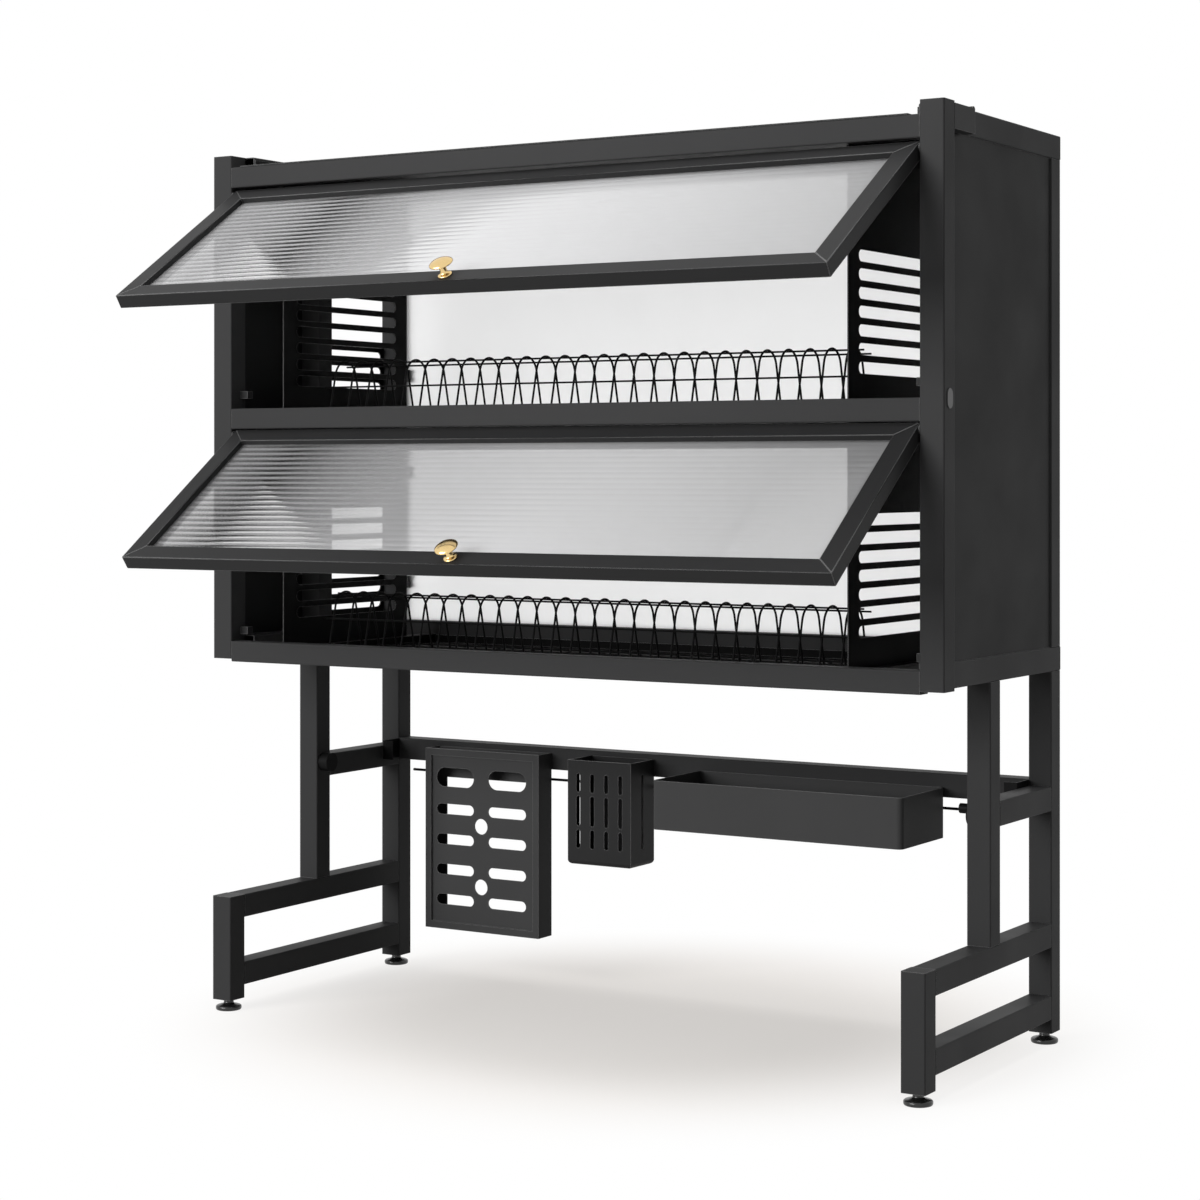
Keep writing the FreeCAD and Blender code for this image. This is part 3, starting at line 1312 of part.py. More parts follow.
def utensil_cage():
    """The cutlery cage: an open box with upright slots and cut lower corners."""
    body, outer = hung_box("cage")

    def low_edge(edge):
        return edge.CenterOfMass.z < EDGE_TOLERANCE and not runs_along(edge, "z")

    round_edges(body, outer, "cage_corner", low_edge)
    inside = ("cage_width - 2 * hung_wall", "cage_depth - 2 * hung_wall", "cage_height")
    block(body, "Subtractive", "inside", inside, ("hung_wall", "hung_wall", "cage_corner"))
    first = "cage_width / 2 - cage_slot_pitch * (cage_slot_count - 1) / 2"
    sketch = sketch_on(body, "slots", "XZ_Plane")
    level = "cage_low_slot"
    for length in ("cage_short_slot", "cage_long_slot", "cage_short_slot"):
        slot(sketch, level, first, length, "cage_slot_width", upright=True)
        level = f"{level} + {length} + cage_bridge"
    front_cut(body, sketch, "hung_wall", "front_slots", ("H_Axis", "cage_slot_pitch", "cage_slot_count"))
    side = sketch_on(body, "side_slot", "YZ_Plane")
    side_length = "2 * cage_short_slot + cage_long_slot + 2 * cage_bridge"
    slot(side, "cage_low_slot", "cage_depth / 2", side_length, "cage_slot_width", upright=True)
    cut_through(body, side, "side_slots")
    hooks(body, "cage")
    keep(body, "utensil_cage")


def sundries_tray():
    """The long open tray with rounded corners and drain slots in its floor."""
    body, _ = hung_box("tray")
    inside = ("tray_width - 2 * hung_wall", "tray_depth - 2 * hung_wall", "tray_height")
    hollow = block(body, "Subtractive", "inside", inside, ("hung_wall", "hung_wall", "hung_wall"))
    edge_middle = number("tray_height") / 2

    def inner_corner(edge):
        return runs_along(edge, "z") and edge.CenterOfMass.z > edge_middle + EDGE_TOLERANCE

    def outer_corner(edge):
        return runs_along(edge, "z") and edge.CenterOfMass.z < edge_middle + EDGE_TOLERANCE

    inner_rounding = round_edges(body, hollow, "tray_corner - hung_wall", inner_corner)
    round_edges(body, inner_rounding, "tray_corner", outer_corner)
    sketch = sketch_on(body, "drain", "XY_Plane")
    first = "tray_width / 2 - tray_slot_pitch * (tray_slot_count - 1) / 2"
    start = "(tray_depth - tray_slot_length) / 2"
    slot(sketch, start, first, "tray_slot_length", "tray_slot_width", upright=True)
    cut = cut_through(body, sketch, "drains")
    repeat(body, cut, sketch, "H_Axis", "tray_slot_pitch", "tray_slot_count")
    hooks(body, "tray")
    keep(body, "sundries_tray")


# Trim

def tube_end_caps():
    """Plugs, flush with the open ends of the tubes."""
    inner = "tube - 2 * tube_wall"
    members = []
    for side in SIDES:
        frame_x = f"{across(side, 'frame_side', 'tube')} + tube_wall"
        body_x = f"{across(side, 'body_side', 'tube')} + tube_wall"
        upright_size = (inner, inner, "plug_depth")
        lying_size = (inner, "plug_depth", inner)
        ends = (
            ("post_top", upright_size, frame_x, "cabinet_front + tube_wall", "cabinet_top - plug_depth"),
            ("post_foot", upright_size, frame_x, "cabinet_front + tube_wall", "cabinet_bottom"),
            ("foot_post", upright_size, body_x, "stand_front + tube_wall", "foot_post_top - plug_depth"),
            ("top_rail", lying_size, body_x, "rear_plane - plug_depth", "top_rail_bottom + tube_wall"),
            ("bottom_rail", lying_size, body_x, "rear_plane - plug_depth", "cabinet_bottom + tube_wall"),
        )
        for name, size, x, y, z in ends:
            body = new_body(f"{side}_{name}_plug", x, y, z)
            block(body, "Additive", "base", size)
            members.append(body)
    group("tube_end_caps", members)


def screw_covers():
    """The oval covers on the outer faces of the front posts."""
    members = []
    for side in SIDES:
        place = "-frame_side - cover_proud" if side == "left" else "frame_side"
        body = new_body(f"{side}_cover", place, "cabinet_front + tube / 2", "cover_centre")
        sketch = sketch_on(body, "oval", "YZ_Plane")
        slot(sketch, "-cover_height / 2", "0", "cover_height", "cover_width", upright=True)
        pad(body, sketch, "cover_proud")
        members.append(body)
    group("screw_covers", members)


# The whole object

front_posts()
front_rail("top_front_rail", "top_front_rail_bottom")
front_rail("middle_front_rail", "middle_front_rail_bottom")
front_rail("bottom_front_rail", "bottom_front_rail_bottom")
cabinet_side_rails()
rear_posts()
inner_uprights()
rear_rail("top_rear_rail", "top_rail_bottom")
rear_rail("middle_rear_rail", "middle_rail_bottom")
rear_rail("bottom_rear_rail", "cabinet_bottom + rear_rail_rise")
tier_bearers()
top_corner_blocks()
roof()
side_panel("left", "left_panel_back")
side_panel("right", "rear_front")
left_side_guards()
for each_tier in TIERS:
    for each_side in SIDES:
        partition(each_side, each_tier)
back_panels()
back_panel_clips()
frame_screws()
stand_tubes()
BEAM_CORNER = ("-inner_side", "rear_front", "beam_bottom")
keep(tube("beam", BEAM_CORNER, ("2 * inner_side", "tube", "tube"), "x"), "back_beam")
hanging_rod()
stand_brackets()
foot_inserts()
for foot_name, foot_x, foot_y in LEG_PLACES:
    levelling_foot(foot_name, foot_x, foot_y)
for each_tier in TIERS:
    drip_tray(each_tier)
    plate_rack(each_tier)
    door_frame(each_tier)
    door_corner_keys(each_tier)
    door_panel(each_tier)
    hinge_pins(each_tier)
    knob(each_tier)
hinge_bushes()
door_stops()
board_rack()
utensil_cage()
sundries_tray()
tube_end_caps()
screw_covers()
DOC.recompute()


def check_features():
    """Stop if a feature failed, a shape is empty or broken, or a cut or an addition changed nothing."""
    for thing in DOC.Objects:
        if "Invalid" in thing.State or "Error" in thing.State:
            raise RuntimeError(f"{thing.Label} failed: {thing.State}")
        base = getattr(thing, "BaseFeature", None)
        if base is None or thing.TypeId == "PartDesign::Body":
            continue
        change = thing.Shape.Volume - base.Shape.Volume
        if abs(change) < SMALLEST_CHANGE:
            raise RuntimeError(f"{thing.Name} changes nothing")
    for node in NODES:
        if node.Shape.isNull() or not node.Shape.isValid():
            raise RuntimeError(f"{node.Label} has no valid shape")


def write_parts():
    """Write every node to its own file."""
    os.makedirs("parts", exist_ok=True)
    for node in NODES:
        node.Shape.exportStep(f"parts/{node.Label}.step")
        box = node.Shape.BoundBox
        print(f"{node.Label:24s} {len(node.Shape.Solids):3d} solids  X {box.XMin:7.1f} {box.XMax:7.1f}"
              f"  Y {box.YMin:7.1f} {box.YMax:7.1f}  Z {box.ZMin:7.1f} {box.ZMax:7.1f}")
    print(f"{len(NODES)} nodes")


check_features()
write_parts()
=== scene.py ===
"""Looks of the covered dish drying rack: finishes, turned and ribbed pieces, floor, light and camera.

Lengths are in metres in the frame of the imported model: X to the right, Y to the back and Z up.
"""
import json
import logging
import math
from dataclasses import dataclass, field
from enum import Enum

import bmesh
import bpy
from mathutils import Matrix, Vector


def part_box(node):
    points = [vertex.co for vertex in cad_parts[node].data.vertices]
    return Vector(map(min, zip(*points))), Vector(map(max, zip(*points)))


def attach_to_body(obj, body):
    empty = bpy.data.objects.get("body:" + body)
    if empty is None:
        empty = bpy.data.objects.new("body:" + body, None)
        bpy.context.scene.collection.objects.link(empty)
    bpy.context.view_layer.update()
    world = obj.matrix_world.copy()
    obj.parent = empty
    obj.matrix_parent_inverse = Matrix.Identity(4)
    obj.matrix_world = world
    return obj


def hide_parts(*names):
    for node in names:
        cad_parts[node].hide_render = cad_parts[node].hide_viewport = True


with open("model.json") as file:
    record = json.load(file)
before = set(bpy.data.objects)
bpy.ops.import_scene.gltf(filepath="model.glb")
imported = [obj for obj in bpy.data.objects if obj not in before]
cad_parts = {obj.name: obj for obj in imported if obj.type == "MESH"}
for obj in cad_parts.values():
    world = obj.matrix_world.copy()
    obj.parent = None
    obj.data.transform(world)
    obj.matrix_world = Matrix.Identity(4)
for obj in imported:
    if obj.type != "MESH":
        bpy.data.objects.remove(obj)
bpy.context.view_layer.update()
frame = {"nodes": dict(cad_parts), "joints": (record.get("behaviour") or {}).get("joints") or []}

MM = 0.001
WHITE = (1.0, 1.0, 1.0)
FRONT_SKIN_SHARE = 0.3
BACKDROP_RAYS = ("Is Camera Ray", "Is Glossy Ray", "Is Transmission Ray")

LOG = logging.getLogger("dish_rack")

Colour = tuple[float, float, float]
Place = tuple[float, float, float]
Pair = tuple[float, float]


class Tier(Enum):
    """The two storeys of the cabinet."""

    LOWER = "lower"
    UPPER = "upper"


DOOR_HEIGHT = {Tier.LOWER: 228.5 * MM, Tier.UPPER: 232 * MM}
TIER_LEVEL = {Tier.LOWER: 402.5 * MM, Tier.UPPER: 657 * MM}


class Foot(Enum):
    """The four levelling feet."""

    FRONT_LEFT = "front_left"
    FRONT_RIGHT = "front_right"
    REAR_LEFT = "rear_left"
    REAR_RIGHT = "rear_right"


# Node trees


class NodeGraph:
    """A node tree, with short ways to add and join nodes."""

    tree: bpy.types.NodeTree

    def add(self, kind: str, settings: dict[str, object] | None = None, **sockets: object) -> bpy.types.Node:
        """Add a node whose inputs are numbers or other nodes' outputs.

        Args:
            kind: The node's type name.
            settings: Properties of the node itself.
            sockets: Inputs, with spaces written as underscores.

        Returns:
            The new node.
        """
        node = self.tree.nodes.new(kind)
        for name, value in (settings or {}).items():
            setattr(node, name, value)
        for name, value in sockets.items():
            self.feed(node.inputs[name.replace("_", " ")], value)
        return node

    def feed(self, socket: bpy.types.NodeSocket, value: object) -> None:
        """Give an input a value or link it to an output.

        Args:
            socket: The input.
            value: A value that suits it, or another node's output.
        """
        if isinstance(value, bpy.types.NodeSocket):
            self.tree.links.new(value, socket)
        else:
            socket.default_value = value

    def math(self, operation: str, first: object, second: object = 0.0) -> bpy.types.NodeSocket:
        """Add a Math node whose operands are outputs or numbers.

        Args:
            operation: The node's operation.
            first: The first operand.
            second: The second operand.

        Returns:
            The result.
        """
        node = self.add("ShaderNodeMath", {"operation": operation})
        self.feed(node.inputs[0], first)
        self.feed(node.inputs[1], second)
        return node.outputs[0]


class ShaderGraph(NodeGraph):
    """A material's or the world's node tree."""

    noise_range: Pair = (0.3, 0.7)
    edge_samples: int = 4
    edge_range: Pair = (0.99, 0.86)

    def __init__(self, owner: bpy.types.ID) -> None:
        """Empty the tree of a material or a world.

        Args:
            owner: The material or the world.
        """
        owner.use_nodes = True
        self.tree = owner.node_tree
        self.tree.nodes.clear()

    def spread(self, source: bpy.types.NodeSocket, low: float, high: float) -> bpy.types.NodeSocket:
        """Stretch a noise's middle range over two values.

        Args:
            source: The noise's value.
            low: Value at the low end.
            high: Value at the high end.

        Returns:
            The stretched value.
        """
        start, stop = self.noise_range
        node = self.add(
            "ShaderNodeMapRange", Value=source, From_Min=start, From_Max=stop, To_Min=low, To_Max=high,
        )
        return node.outputs["Result"]

    def noise(self, size: float, detail: float = 2.0) -> bpy.types.NodeSocket:
        """Noise in the object's own coordinates.

        Args:
            size: Size of one blotch, in metres.
            detail: How many finer layers it has.

        Returns:
            The noise's value.
        """
        place = self.add("ShaderNodeTexCoord")
        noise = self.add("ShaderNodeTexNoise", Vector=place.outputs["Object"], Scale=1 / size, Detail=detail)
        return noise.outputs[0]

    def bump(self, height: bpy.types.NodeSocket, distance: float, strength: float) -> bpy.types.NodeSocket:
        """Turn a height into a bumped normal.

        Args:
            height: The height's value.
            distance: Height of the bumps, in metres.
            strength: Share of the bumps that shows.

        Returns:
            The normal.
        """
        node = self.add("ShaderNodeBump", Height=height, Distance=distance, Strength=strength)
        return node.outputs["Normal"]

    def mix_colour(self, factor: bpy.types.NodeSocket, first: object, second: object) -> bpy.types.NodeSocket:
        """Blend two colours, each given as numbers or as a socket.

        Args:
            factor: Share of the second colour.
            first: The first colour.
            second: The second colour.

        Returns:
            The blended colour.
        """
        node = self.add("ShaderNodeMix", {"data_type": "RGBA"}, Factor=factor)
        for name, colour in (("A", first), ("B", second)):
            socket = next(socket for socket in node.inputs if socket.name == name and socket.type == "RGBA")
            self.feed(socket, colour if isinstance(colour, bpy.types.NodeSocket) else (*colour, 1.0))
        return next(socket for socket in node.outputs if socket.type == "RGBA")

    def mix_shaders(self, share: object, first: bpy.types.Node, second: bpy.types.Node) -> bpy.types.Node:
        """Blend the first outputs of two shader nodes.

        Args:
            share: Share of the second shader, as a number or an output.
            first: The first shader's node.
            second: The second shader's node.

        Returns:
            The blending node.
        """
        node = self.add("ShaderNodeMixShader", Fac=share)
        self.feed(node.inputs[1], first.outputs[0])
        self.feed(node.inputs[2], second.outputs[0])
        return node

    def veil(self, colour: Colour, through: float) -> bpy.types.Node:
        """Milk in a sheet: it scatters part of the light back and lets the rest glow through.

        Args:
            colour: The milk's colour.
            through: Share that glows through.

        Returns:
            The shader's node.
        """
        milky = self.add("ShaderNodeBsdfDiffuse", Color=(*colour, 1.0))
        glowing = self.add("ShaderNodeBsdfTranslucent", Color=(*colour, 1.0))
        return self.mix_shaders(through, milky, glowing)

    def edge_share(self, width: float) -> bpy.types.NodeSocket:
        """How near a point is to a sharp edge of its piece.

        Args:
            width: Width of the edge line, in metres.

        Returns:
            One on the edge and nought away from it.
        """
        rounded = self.add("ShaderNodeBevel", {"samples": self.edge_samples}, Radius=width)
        surface = self.add("ShaderNodeNewGeometry")
        likeness = self.add("ShaderNodeVectorMath", {"operation": "DOT_PRODUCT"})
        self.feed(likeness.inputs[0], rounded.outputs["Normal"])
        self.feed(likeness.inputs[1], surface.outputs["Normal"])
        start, stop = self.edge_range
        share = self.add("ShaderNodeMapRange", Value=likeness.outputs["Value"], From_Min=start, From_Max=stop)
        return share.outputs["Result"]

    def any_ray(self, *names: str) -> bpy.types.NodeSocket:
        """Whether the ray is of one of some kinds.

        Args:
            names: Output names of the Light Path node.

        Returns:
            One where it is, and nought elsewhere.
        """
        path = self.add("ShaderNodeLightPath")
        result = path.outputs[names[0]]
        for name in names[1:]:
            result = self.math("MAXIMUM", result, path.outputs[name])
        return result

    def end(self, surface: bpy.types.NodeSocket, kind: str = "ShaderNodeOutputMaterial") -> None:
        """Join a shader to the tree's output, a material's unless another kind is named."""
        self.add(kind, Surface=surface)


# Finishes


@dataclass(frozen=True)
class Coat:
    """A baked powder coat or a moulded plastic: a fine bump under a soft gloss, with a painted highlight
    along its edges.
    """

    name: str
    colour: Colour
    roughness: Pair
    specular: float = 0.1
    grain: float = 0.9 * MM
    grain_height: float = 0.05 * MM
    grain_strength: float = 0.35
    blotch: float = 90 * MM
    blotch_layers: float = 3.0
    tone: float = 1.15
    # Colour of the painted highlight on sharp edges, standing in for light caught by rounded corners; None
    # leaves it out.
    edge_highlight_colour: Colour | None = (0.2, 0.2, 0.2)
    edge_highlight_width: float = 0.9 * MM

    def build(self) -> bpy.types.Material:
        """Make the material.

        Returns:
            The material.
        """
        material = bpy.data.materials.new(self.name)
        graph = ShaderGraph(material)
        blotches = graph.noise(self.blotch, self.blotch_layers)
        lighter = tuple(channel * self.tone for channel in self.colour)
        colour = graph.mix_colour(blotches, self.colour, lighter)
        # Painted highlight: the colour turns paler along sharp edges, found with the Bevel node.
        if self.edge_highlight_colour:
            colour = graph.mix_colour(graph.edge_share(self.edge_highlight_width), colour, self.edge_highlight_colour)
        shader = graph.add(
            "ShaderNodeBsdfPrincipled",
            Base_Color=colour,
            Roughness=graph.spread(blotches, *self.roughness),
            Specular_IOR_Level=self.specular,
            Normal=graph.bump(graph.noise(self.grain), self.grain_height, self.grain_strength),
        )
        graph.end(shader.outputs[0])
        return material


@dataclass(frozen=True)
class Metal:
    """A polished or brushed bare metal."""

    name: str
    colour: Colour
    roughness: Pair
    blotch: float = 4 * MM
    blotch_layers: float = 4.0
    tone: float = 0.9

    def build(self) -> bpy.types.Material:
        """Make the material.

        Returns:
            The material.
        """
        material = bpy.data.materials.new(self.name)
        graph = ShaderGraph(material)
        blotches = graph.noise(self.blotch, self.blotch_layers)
        darker = tuple(channel * self.tone for channel in self.colour)
        shader = graph.add(
            "ShaderNodeBsdfPrincipled",
            Base_Color=graph.mix_colour(blotches, self.colour, darker),
            Metallic=1.0,
            Roughness=graph.spread(blotches, *self.roughness),
        )
        graph.end(shader.outputs[0])
        return material


@dataclass(frozen=True)
class ClearSheet:
    """A sheet of frosted plastic: it bends light through a rough surface and has a milky share."""

    name: str
    tint: Colour
    roughness: Pair
    milk: float
    milk_colour: Colour
    through: float = 0.4
    blotch: float = 60 * MM
    tone: float = 0.985
    refraction: float = 1.45

    def build(self) -> bpy.types.Material:
        """Make the material.

        Returns:
            The material.
        """
        material = bpy.data.materials.new(self.name)
        graph = ShaderGraph(material)
        blotches = graph.noise(self.blotch)
        darker = tuple(channel * self.tone for channel in self.tint)
        clear = graph.add(
            "ShaderNodeBsdfPrincipled",
            Base_Color=graph.mix_colour(blotches, self.tint, darker),
            Roughness=graph.spread(blotches, *self.roughness),
            IOR=self.refraction,
            Transmission_Weight=1.0,
        )
        mixed = graph.mix_shaders(self.milk, clear, graph.veil(self.milk_colour, self.through))
        graph.end(mixed.outputs[0])
        return material


@dataclass(frozen=True)
class RibbedSheet:
    """A thin sheet that light passes straight: a milky share scatters it and the outer skin shines."""

    name: str
    clearness: float
    milk: float
    milk_colour: Colour = (0.94, 0.94, 0.95)
    through: float = 0.4
    roughness: float = 0.08
    refraction: float = 1.45

    def build(self) -> bpy.types.Material:
        """Make the material, each of whose two skins takes the root of the clearness.

        Returns:
            The material.
        """
        material = bpy.data.materials.new(self.name)
        graph = ShaderGraph(material)
        passed = math.sqrt(self.clearness)
        direct = graph.add("ShaderNodeBsdfTransparent", Color=(passed, passed, passed, 1.0))
        body = graph.mix_shaders(self.milk, direct, graph.veil(self.milk_colour, self.through))
        facing = graph.add("ShaderNodeNewGeometry")
        outside = graph.math("SUBTRACT", 1.0, facing.outputs["Backfacing"])
        mirrored = graph.add("ShaderNodeFresnel", IOR=self.refraction)
        shine = graph.add("ShaderNodeBsdfAnisotropic", Color=(*WHITE, 1.0), Roughness=self.roughness)
        share = graph.math("MULTIPLY", mirrored.outputs[0], outside)
        graph.end(graph.mix_shaders(share, body, shine).outputs[0])
        return material


@dataclass(frozen=True)
class PaleFloor:
    """A floor that shows as the page's white and takes the object's shadow near the object."""

    name: str = "pale_floor"
    dark_share: float = 0.58
    painted_shadow_tint: Colour = (1.0, 0.968, 0.935)
    bounce: Colour = (0.4, 0.395, 0.39)
    middle: Vector = field(default_factory=lambda: Vector((0.0, 130 * MM, 0.0)))
    near: float = 0.2
    far: float = 0.56

    def build(self) -> bpy.types.Material:
        """Make the material.

        Returns:
            The material.
        """
        material = bpy.data.materials.new(self.name)
        graph = ShaderGraph(material)
        share = self.near_share(graph)
        # Near the object the glow dims so that the diffuse share can show the real shadow. The glow and that
        # share also take a warm tint there, a painted warm shade that stays under any light.
        glow = graph.add(
            "ShaderNodeEmission",
            Color=graph.mix_colour(share, WHITE, self.painted_shadow_tint),
            Strength=graph.math("SUBTRACT", 1.0, graph.math("MULTIPLY", share, self.dark_share)),
        )
        taken = tuple(self.dark_share * channel for channel in self.painted_shadow_tint)
        lit = graph.add("ShaderNodeBsdfDiffuse", Color=graph.mix_colour(share, (0.0, 0.0, 0.0), taken))
        both = graph.add("ShaderNodeAddShader")
        graph.feed(both.inputs[0], glow.outputs[0])
        graph.feed(both.inputs[1], lit.outputs[0])
        plain = graph.add("ShaderNodeBsdfDiffuse", Color=(*self.bounce, 1.0))
        graph.end(graph.mix_shaders(graph.any_ray(*BACKDROP_RAYS), plain, both).outputs[0])
        return material

    def near_share(self, graph: ShaderGraph) -> bpy.types.NodeSocket:
        """How much of the shadow a place takes, from its distance to the object's middle.

        Args:
            graph: The floor's node tree.

        Returns:
            One near the object and nought far from it.
        """
        place = graph.add("ShaderNodeTexCoord")
        away = graph.add("ShaderNodeVectorMath", {"operation": "DISTANCE"})
        graph.feed(away.inputs[0], place.outputs["Object"])
        graph.feed(away.inputs[1], self.middle)
        fade = graph.add(
            "ShaderNodeMapRange",
            {"interpolation_type": "SMOOTHSTEP"},
            Value=away.outputs["Value"],
            From_Min=self.near,
            From_Max=self.far,
            To_Min=1.0,
            To_Max=0.0,
        )
        return fade.outputs["Result"]


class Finishes:
    """Every finish of the rack, built once."""

    def __init__(self) -> None:
        """Build the materials."""
        self.frame_coat = Coat("frame_black_coat", (0.037, 0.037, 0.0375), (0.45, 0.55), 0.05).build()
        self.sheet_coat = Coat("sheet_black_coat", (0.0125, 0.0125, 0.0126), (0.42, 0.52), 0.05).build()
        # Painted shade: a darker copy of the sheets' black coat for the partitions, guards and drip trays
        # inside the cabinet, standing in for the shade of its inside.
        self.shaded_inner_coat = Coat("inner_painted_shade_coat", (0.005, 0.005, 0.0051), (0.45, 0.55), 0.03).build()
        self.holder_coat = Coat("holder_black_coat", (0.055, 0.055, 0.0555), (0.4, 0.5), 0.03).build()
        self.door_coat = Coat("door_black_coat", (0.023, 0.023, 0.0234), (0.36, 0.46), 0.06, 0.5 * MM).build()
        self.wire_coat = Coat(
            "wire_black_coat", (0.006, 0.006, 0.0061), (0.4, 0.5), 0.05, grain=1.5 * MM, edge_highlight_colour=None,
        ).build()
        self.plastic = Coat("black_plastic", (0.03, 0.03, 0.0303), (0.4, 0.5), 0.06, 0.3 * MM).build()
        self.cover = Coat(
            "cover_grey_plastic", (0.07, 0.07, 0.072), (0.3, 0.4), 0.3, grain=0.3 * MM, edge_highlight_colour=None,
        ).build()
        self.foot = Coat(
            "foot_black_plastic", (0.012, 0.012, 0.012), (0.2, 0.3), 0.5, grain=0.6 * MM, edge_highlight_colour=None,
        ).build()
        self.steel = Metal("bright_steel", (0.62, 0.62, 0.63), (0.25, 0.38)).build()
        self.brass = Metal("polished_brass", (0.86, 0.63, 0.3), (0.16, 0.26)).build()
        self.ribbed = {
            Tier.UPPER: RibbedSheet("upper_ribbed_sheet", 0.65, 0.46).build(),
            Tier.LOWER: RibbedSheet("lower_ribbed_sheet", 0.85, 0.38).build(),
        }
        clear = (0.985, 0.985, 0.985)
        self.frosted = ClearSheet("frosted_sheet", clear, (0.4, 0.46), 0.12, (0.9, 0.9, 0.9)).build()
        self.floor = PaleFloor().build()


# Meshes


class Pieces:
    """Ways to turn meshes into finished pieces of the object."""

    @staticmethod
    def place(name: str, mesh: bpy.types.Mesh) -> bpy.types.Object:
        """Put a mesh into the scene, its place in its own points.

        Args:
            name: Name of the piece.
            mesh: Its finished mesh.

        Returns:
            The piece.
        """
        mesh.name = name
        piece = bpy.data.objects.new(name, mesh)
        bpy.context.scene.collection.objects.link(piece)
        return piece

    @staticmethod
    def turned(profile: list[Pair], sides: int, material: bpy.types.Material, sharp: float) -> bpy.types.Mesh:
        """Turn a half profile round the Z axis.

        Args:
            profile: Radius and height of each point, from the lower pole to the upper one.
            sides: Number of faces round the axis.
            material: The finish.
            sharp: Angle in degrees above which an edge stays sharp.

        Returns:
            A closed mesh.
        """
        shape = bmesh.new()
        rings = []
        for radius, height in profile:
            count = sides if radius > 0 else 1
            turns = [2 * math.pi * step / sides for step in range(count)]
            spots = [(radius * math.cos(turn), radius * math.sin(turn), height) for turn in turns]
            rings.append([shape.verts.new(spot) for spot in spots])
        for low, high in zip(rings, rings[1:]):
            for step in range(sides):
                after = (step + 1) % sides
                below = [low[step % len(low)], low[after % len(low)]]
                above = [high[after % len(high)], high[step % len(high)]]
                shape.faces.new(list(dict.fromkeys(below + above)))
        bmesh.ops.recalc_face_normals(shape, faces=shape.faces)
        mesh = bpy.data.meshes.new("turned")
        shape.to_mesh(mesh)
        shape.free()
        mesh.shade_smooth()
        mesh.set_sharp_from_angle(angle=math.radians(sharp))
        mesh.materials.append(material)
        return mesh

    @staticmethod
    def path(points: list[Vector]) -> bpy.types.Object:
        """A chain of edges through points, as the start of a swept wire.

        Args:
            points: The points in order.

        Returns:
            The chain.
        """
        edges = [(step, step + 1) for step in range(len(points) - 1)]
        mesh = bpy.data.meshes.new("path")
        mesh.from_pydata([tuple(point) for point in points], edges, [])
        return Pieces.place("path", mesh)

    @staticmethod
    def joined(name: str, meshes: list[bpy.types.Mesh]) -> bpy.types.Object:
        """Bring several meshes of one finish together as one piece.

        Args:
            name: Name of the piece.
            meshes: The meshes, which are used up.

        Returns:
            The piece.
        """
        shape = bmesh.new()
        material = meshes[0].materials[0]
        for mesh in meshes:
            shape.from_mesh(mesh)
            bpy.data.meshes.remove(mesh)
        whole = bpy.data.meshes.new(name)
        shape.to_mesh(whole)
        shape.free()
        whole.materials.append(material)
        return Pieces.place(name, whole)


class GeometryGraph(NodeGraph):
    """A Geometry Nodes tree with named inputs, run once on a starting object."""

    def __init__(self, name: str, inputs: dict[str, str]) -> None:
        """Start a tree.

        Args:
            name: Name of the tree.
            inputs: Socket type of each named input.
        """
        self.tree = bpy.data.node_groups.new(name, "GeometryNodeTree")
        self.tree.interface.new_socket("Geometry", in_out="INPUT", socket_type="NodeSocketGeometry")
        for label, kind in inputs.items():
            self.tree.interface.new_socket(label, in_out="INPUT", socket_type=kind)
        self.tree.interface.new_socket("Geometry", in_out="OUTPUT", socket_type="NodeSocketGeometry")
        self.start = self.tree.nodes.new("NodeGroupInput")
        self.finish = self.tree.nodes.new("NodeGroupOutput")

    def given(self, label: str) -> bpy.types.NodeSocket:
        """One of the tree's inputs."""
        return self.start.outputs[label]

    def end(self, geometry: bpy.types.NodeSocket, smooth: object = True) -> None:
        """Close the tree: real geometry, its shading and its material.

        Args:
            geometry: What the tree made.
            smooth: Which faces are smooth.
        """
        real = self.add("GeometryNodeRealizeInstances", Geometry=geometry)
        shaded = self.add("GeometryNodeSetShadeSmooth", Geometry=real.outputs[0], Shade_Smooth=smooth)
        coat = self.given("Material")
        painted = self.add("GeometryNodeSetMaterial", Geometry=shaded.outputs[0], Material=coat)
        self.feed(self.finish.inputs[0], painted.outputs[0])

    def run(self, host: bpy.types.Object, values: dict[str, object]) -> bpy.types.Mesh:
        """Run the tree on an object, which is used up.

        Args:
            host: The starting object.
            values: Value of each named input.

        Returns:
            The mesh it made.
        """
        modifier = host.modifiers.new(self.tree.name, "NODES")
        modifier.node_group = self.tree
        for item in self.tree.interface.items_tree:
            if item.in_out == "INPUT" and item.name in values:
                modifier[item.identifier] = values[item.name]
        graph = bpy.context.evaluated_depsgraph_get()
        mesh = bpy.data.meshes.new_from_object(host.evaluated_get(graph))
        host.modifiers.remove(modifier)
        mesh.materials.clear()
        mesh.materials.append(values["Material"])
        mesh.polygons.foreach_set("material_index", [0] * len(mesh.polygons))
        start = host.data
        bpy.data.objects.remove(host)
        bpy.data.meshes.remove(start)
        return mesh


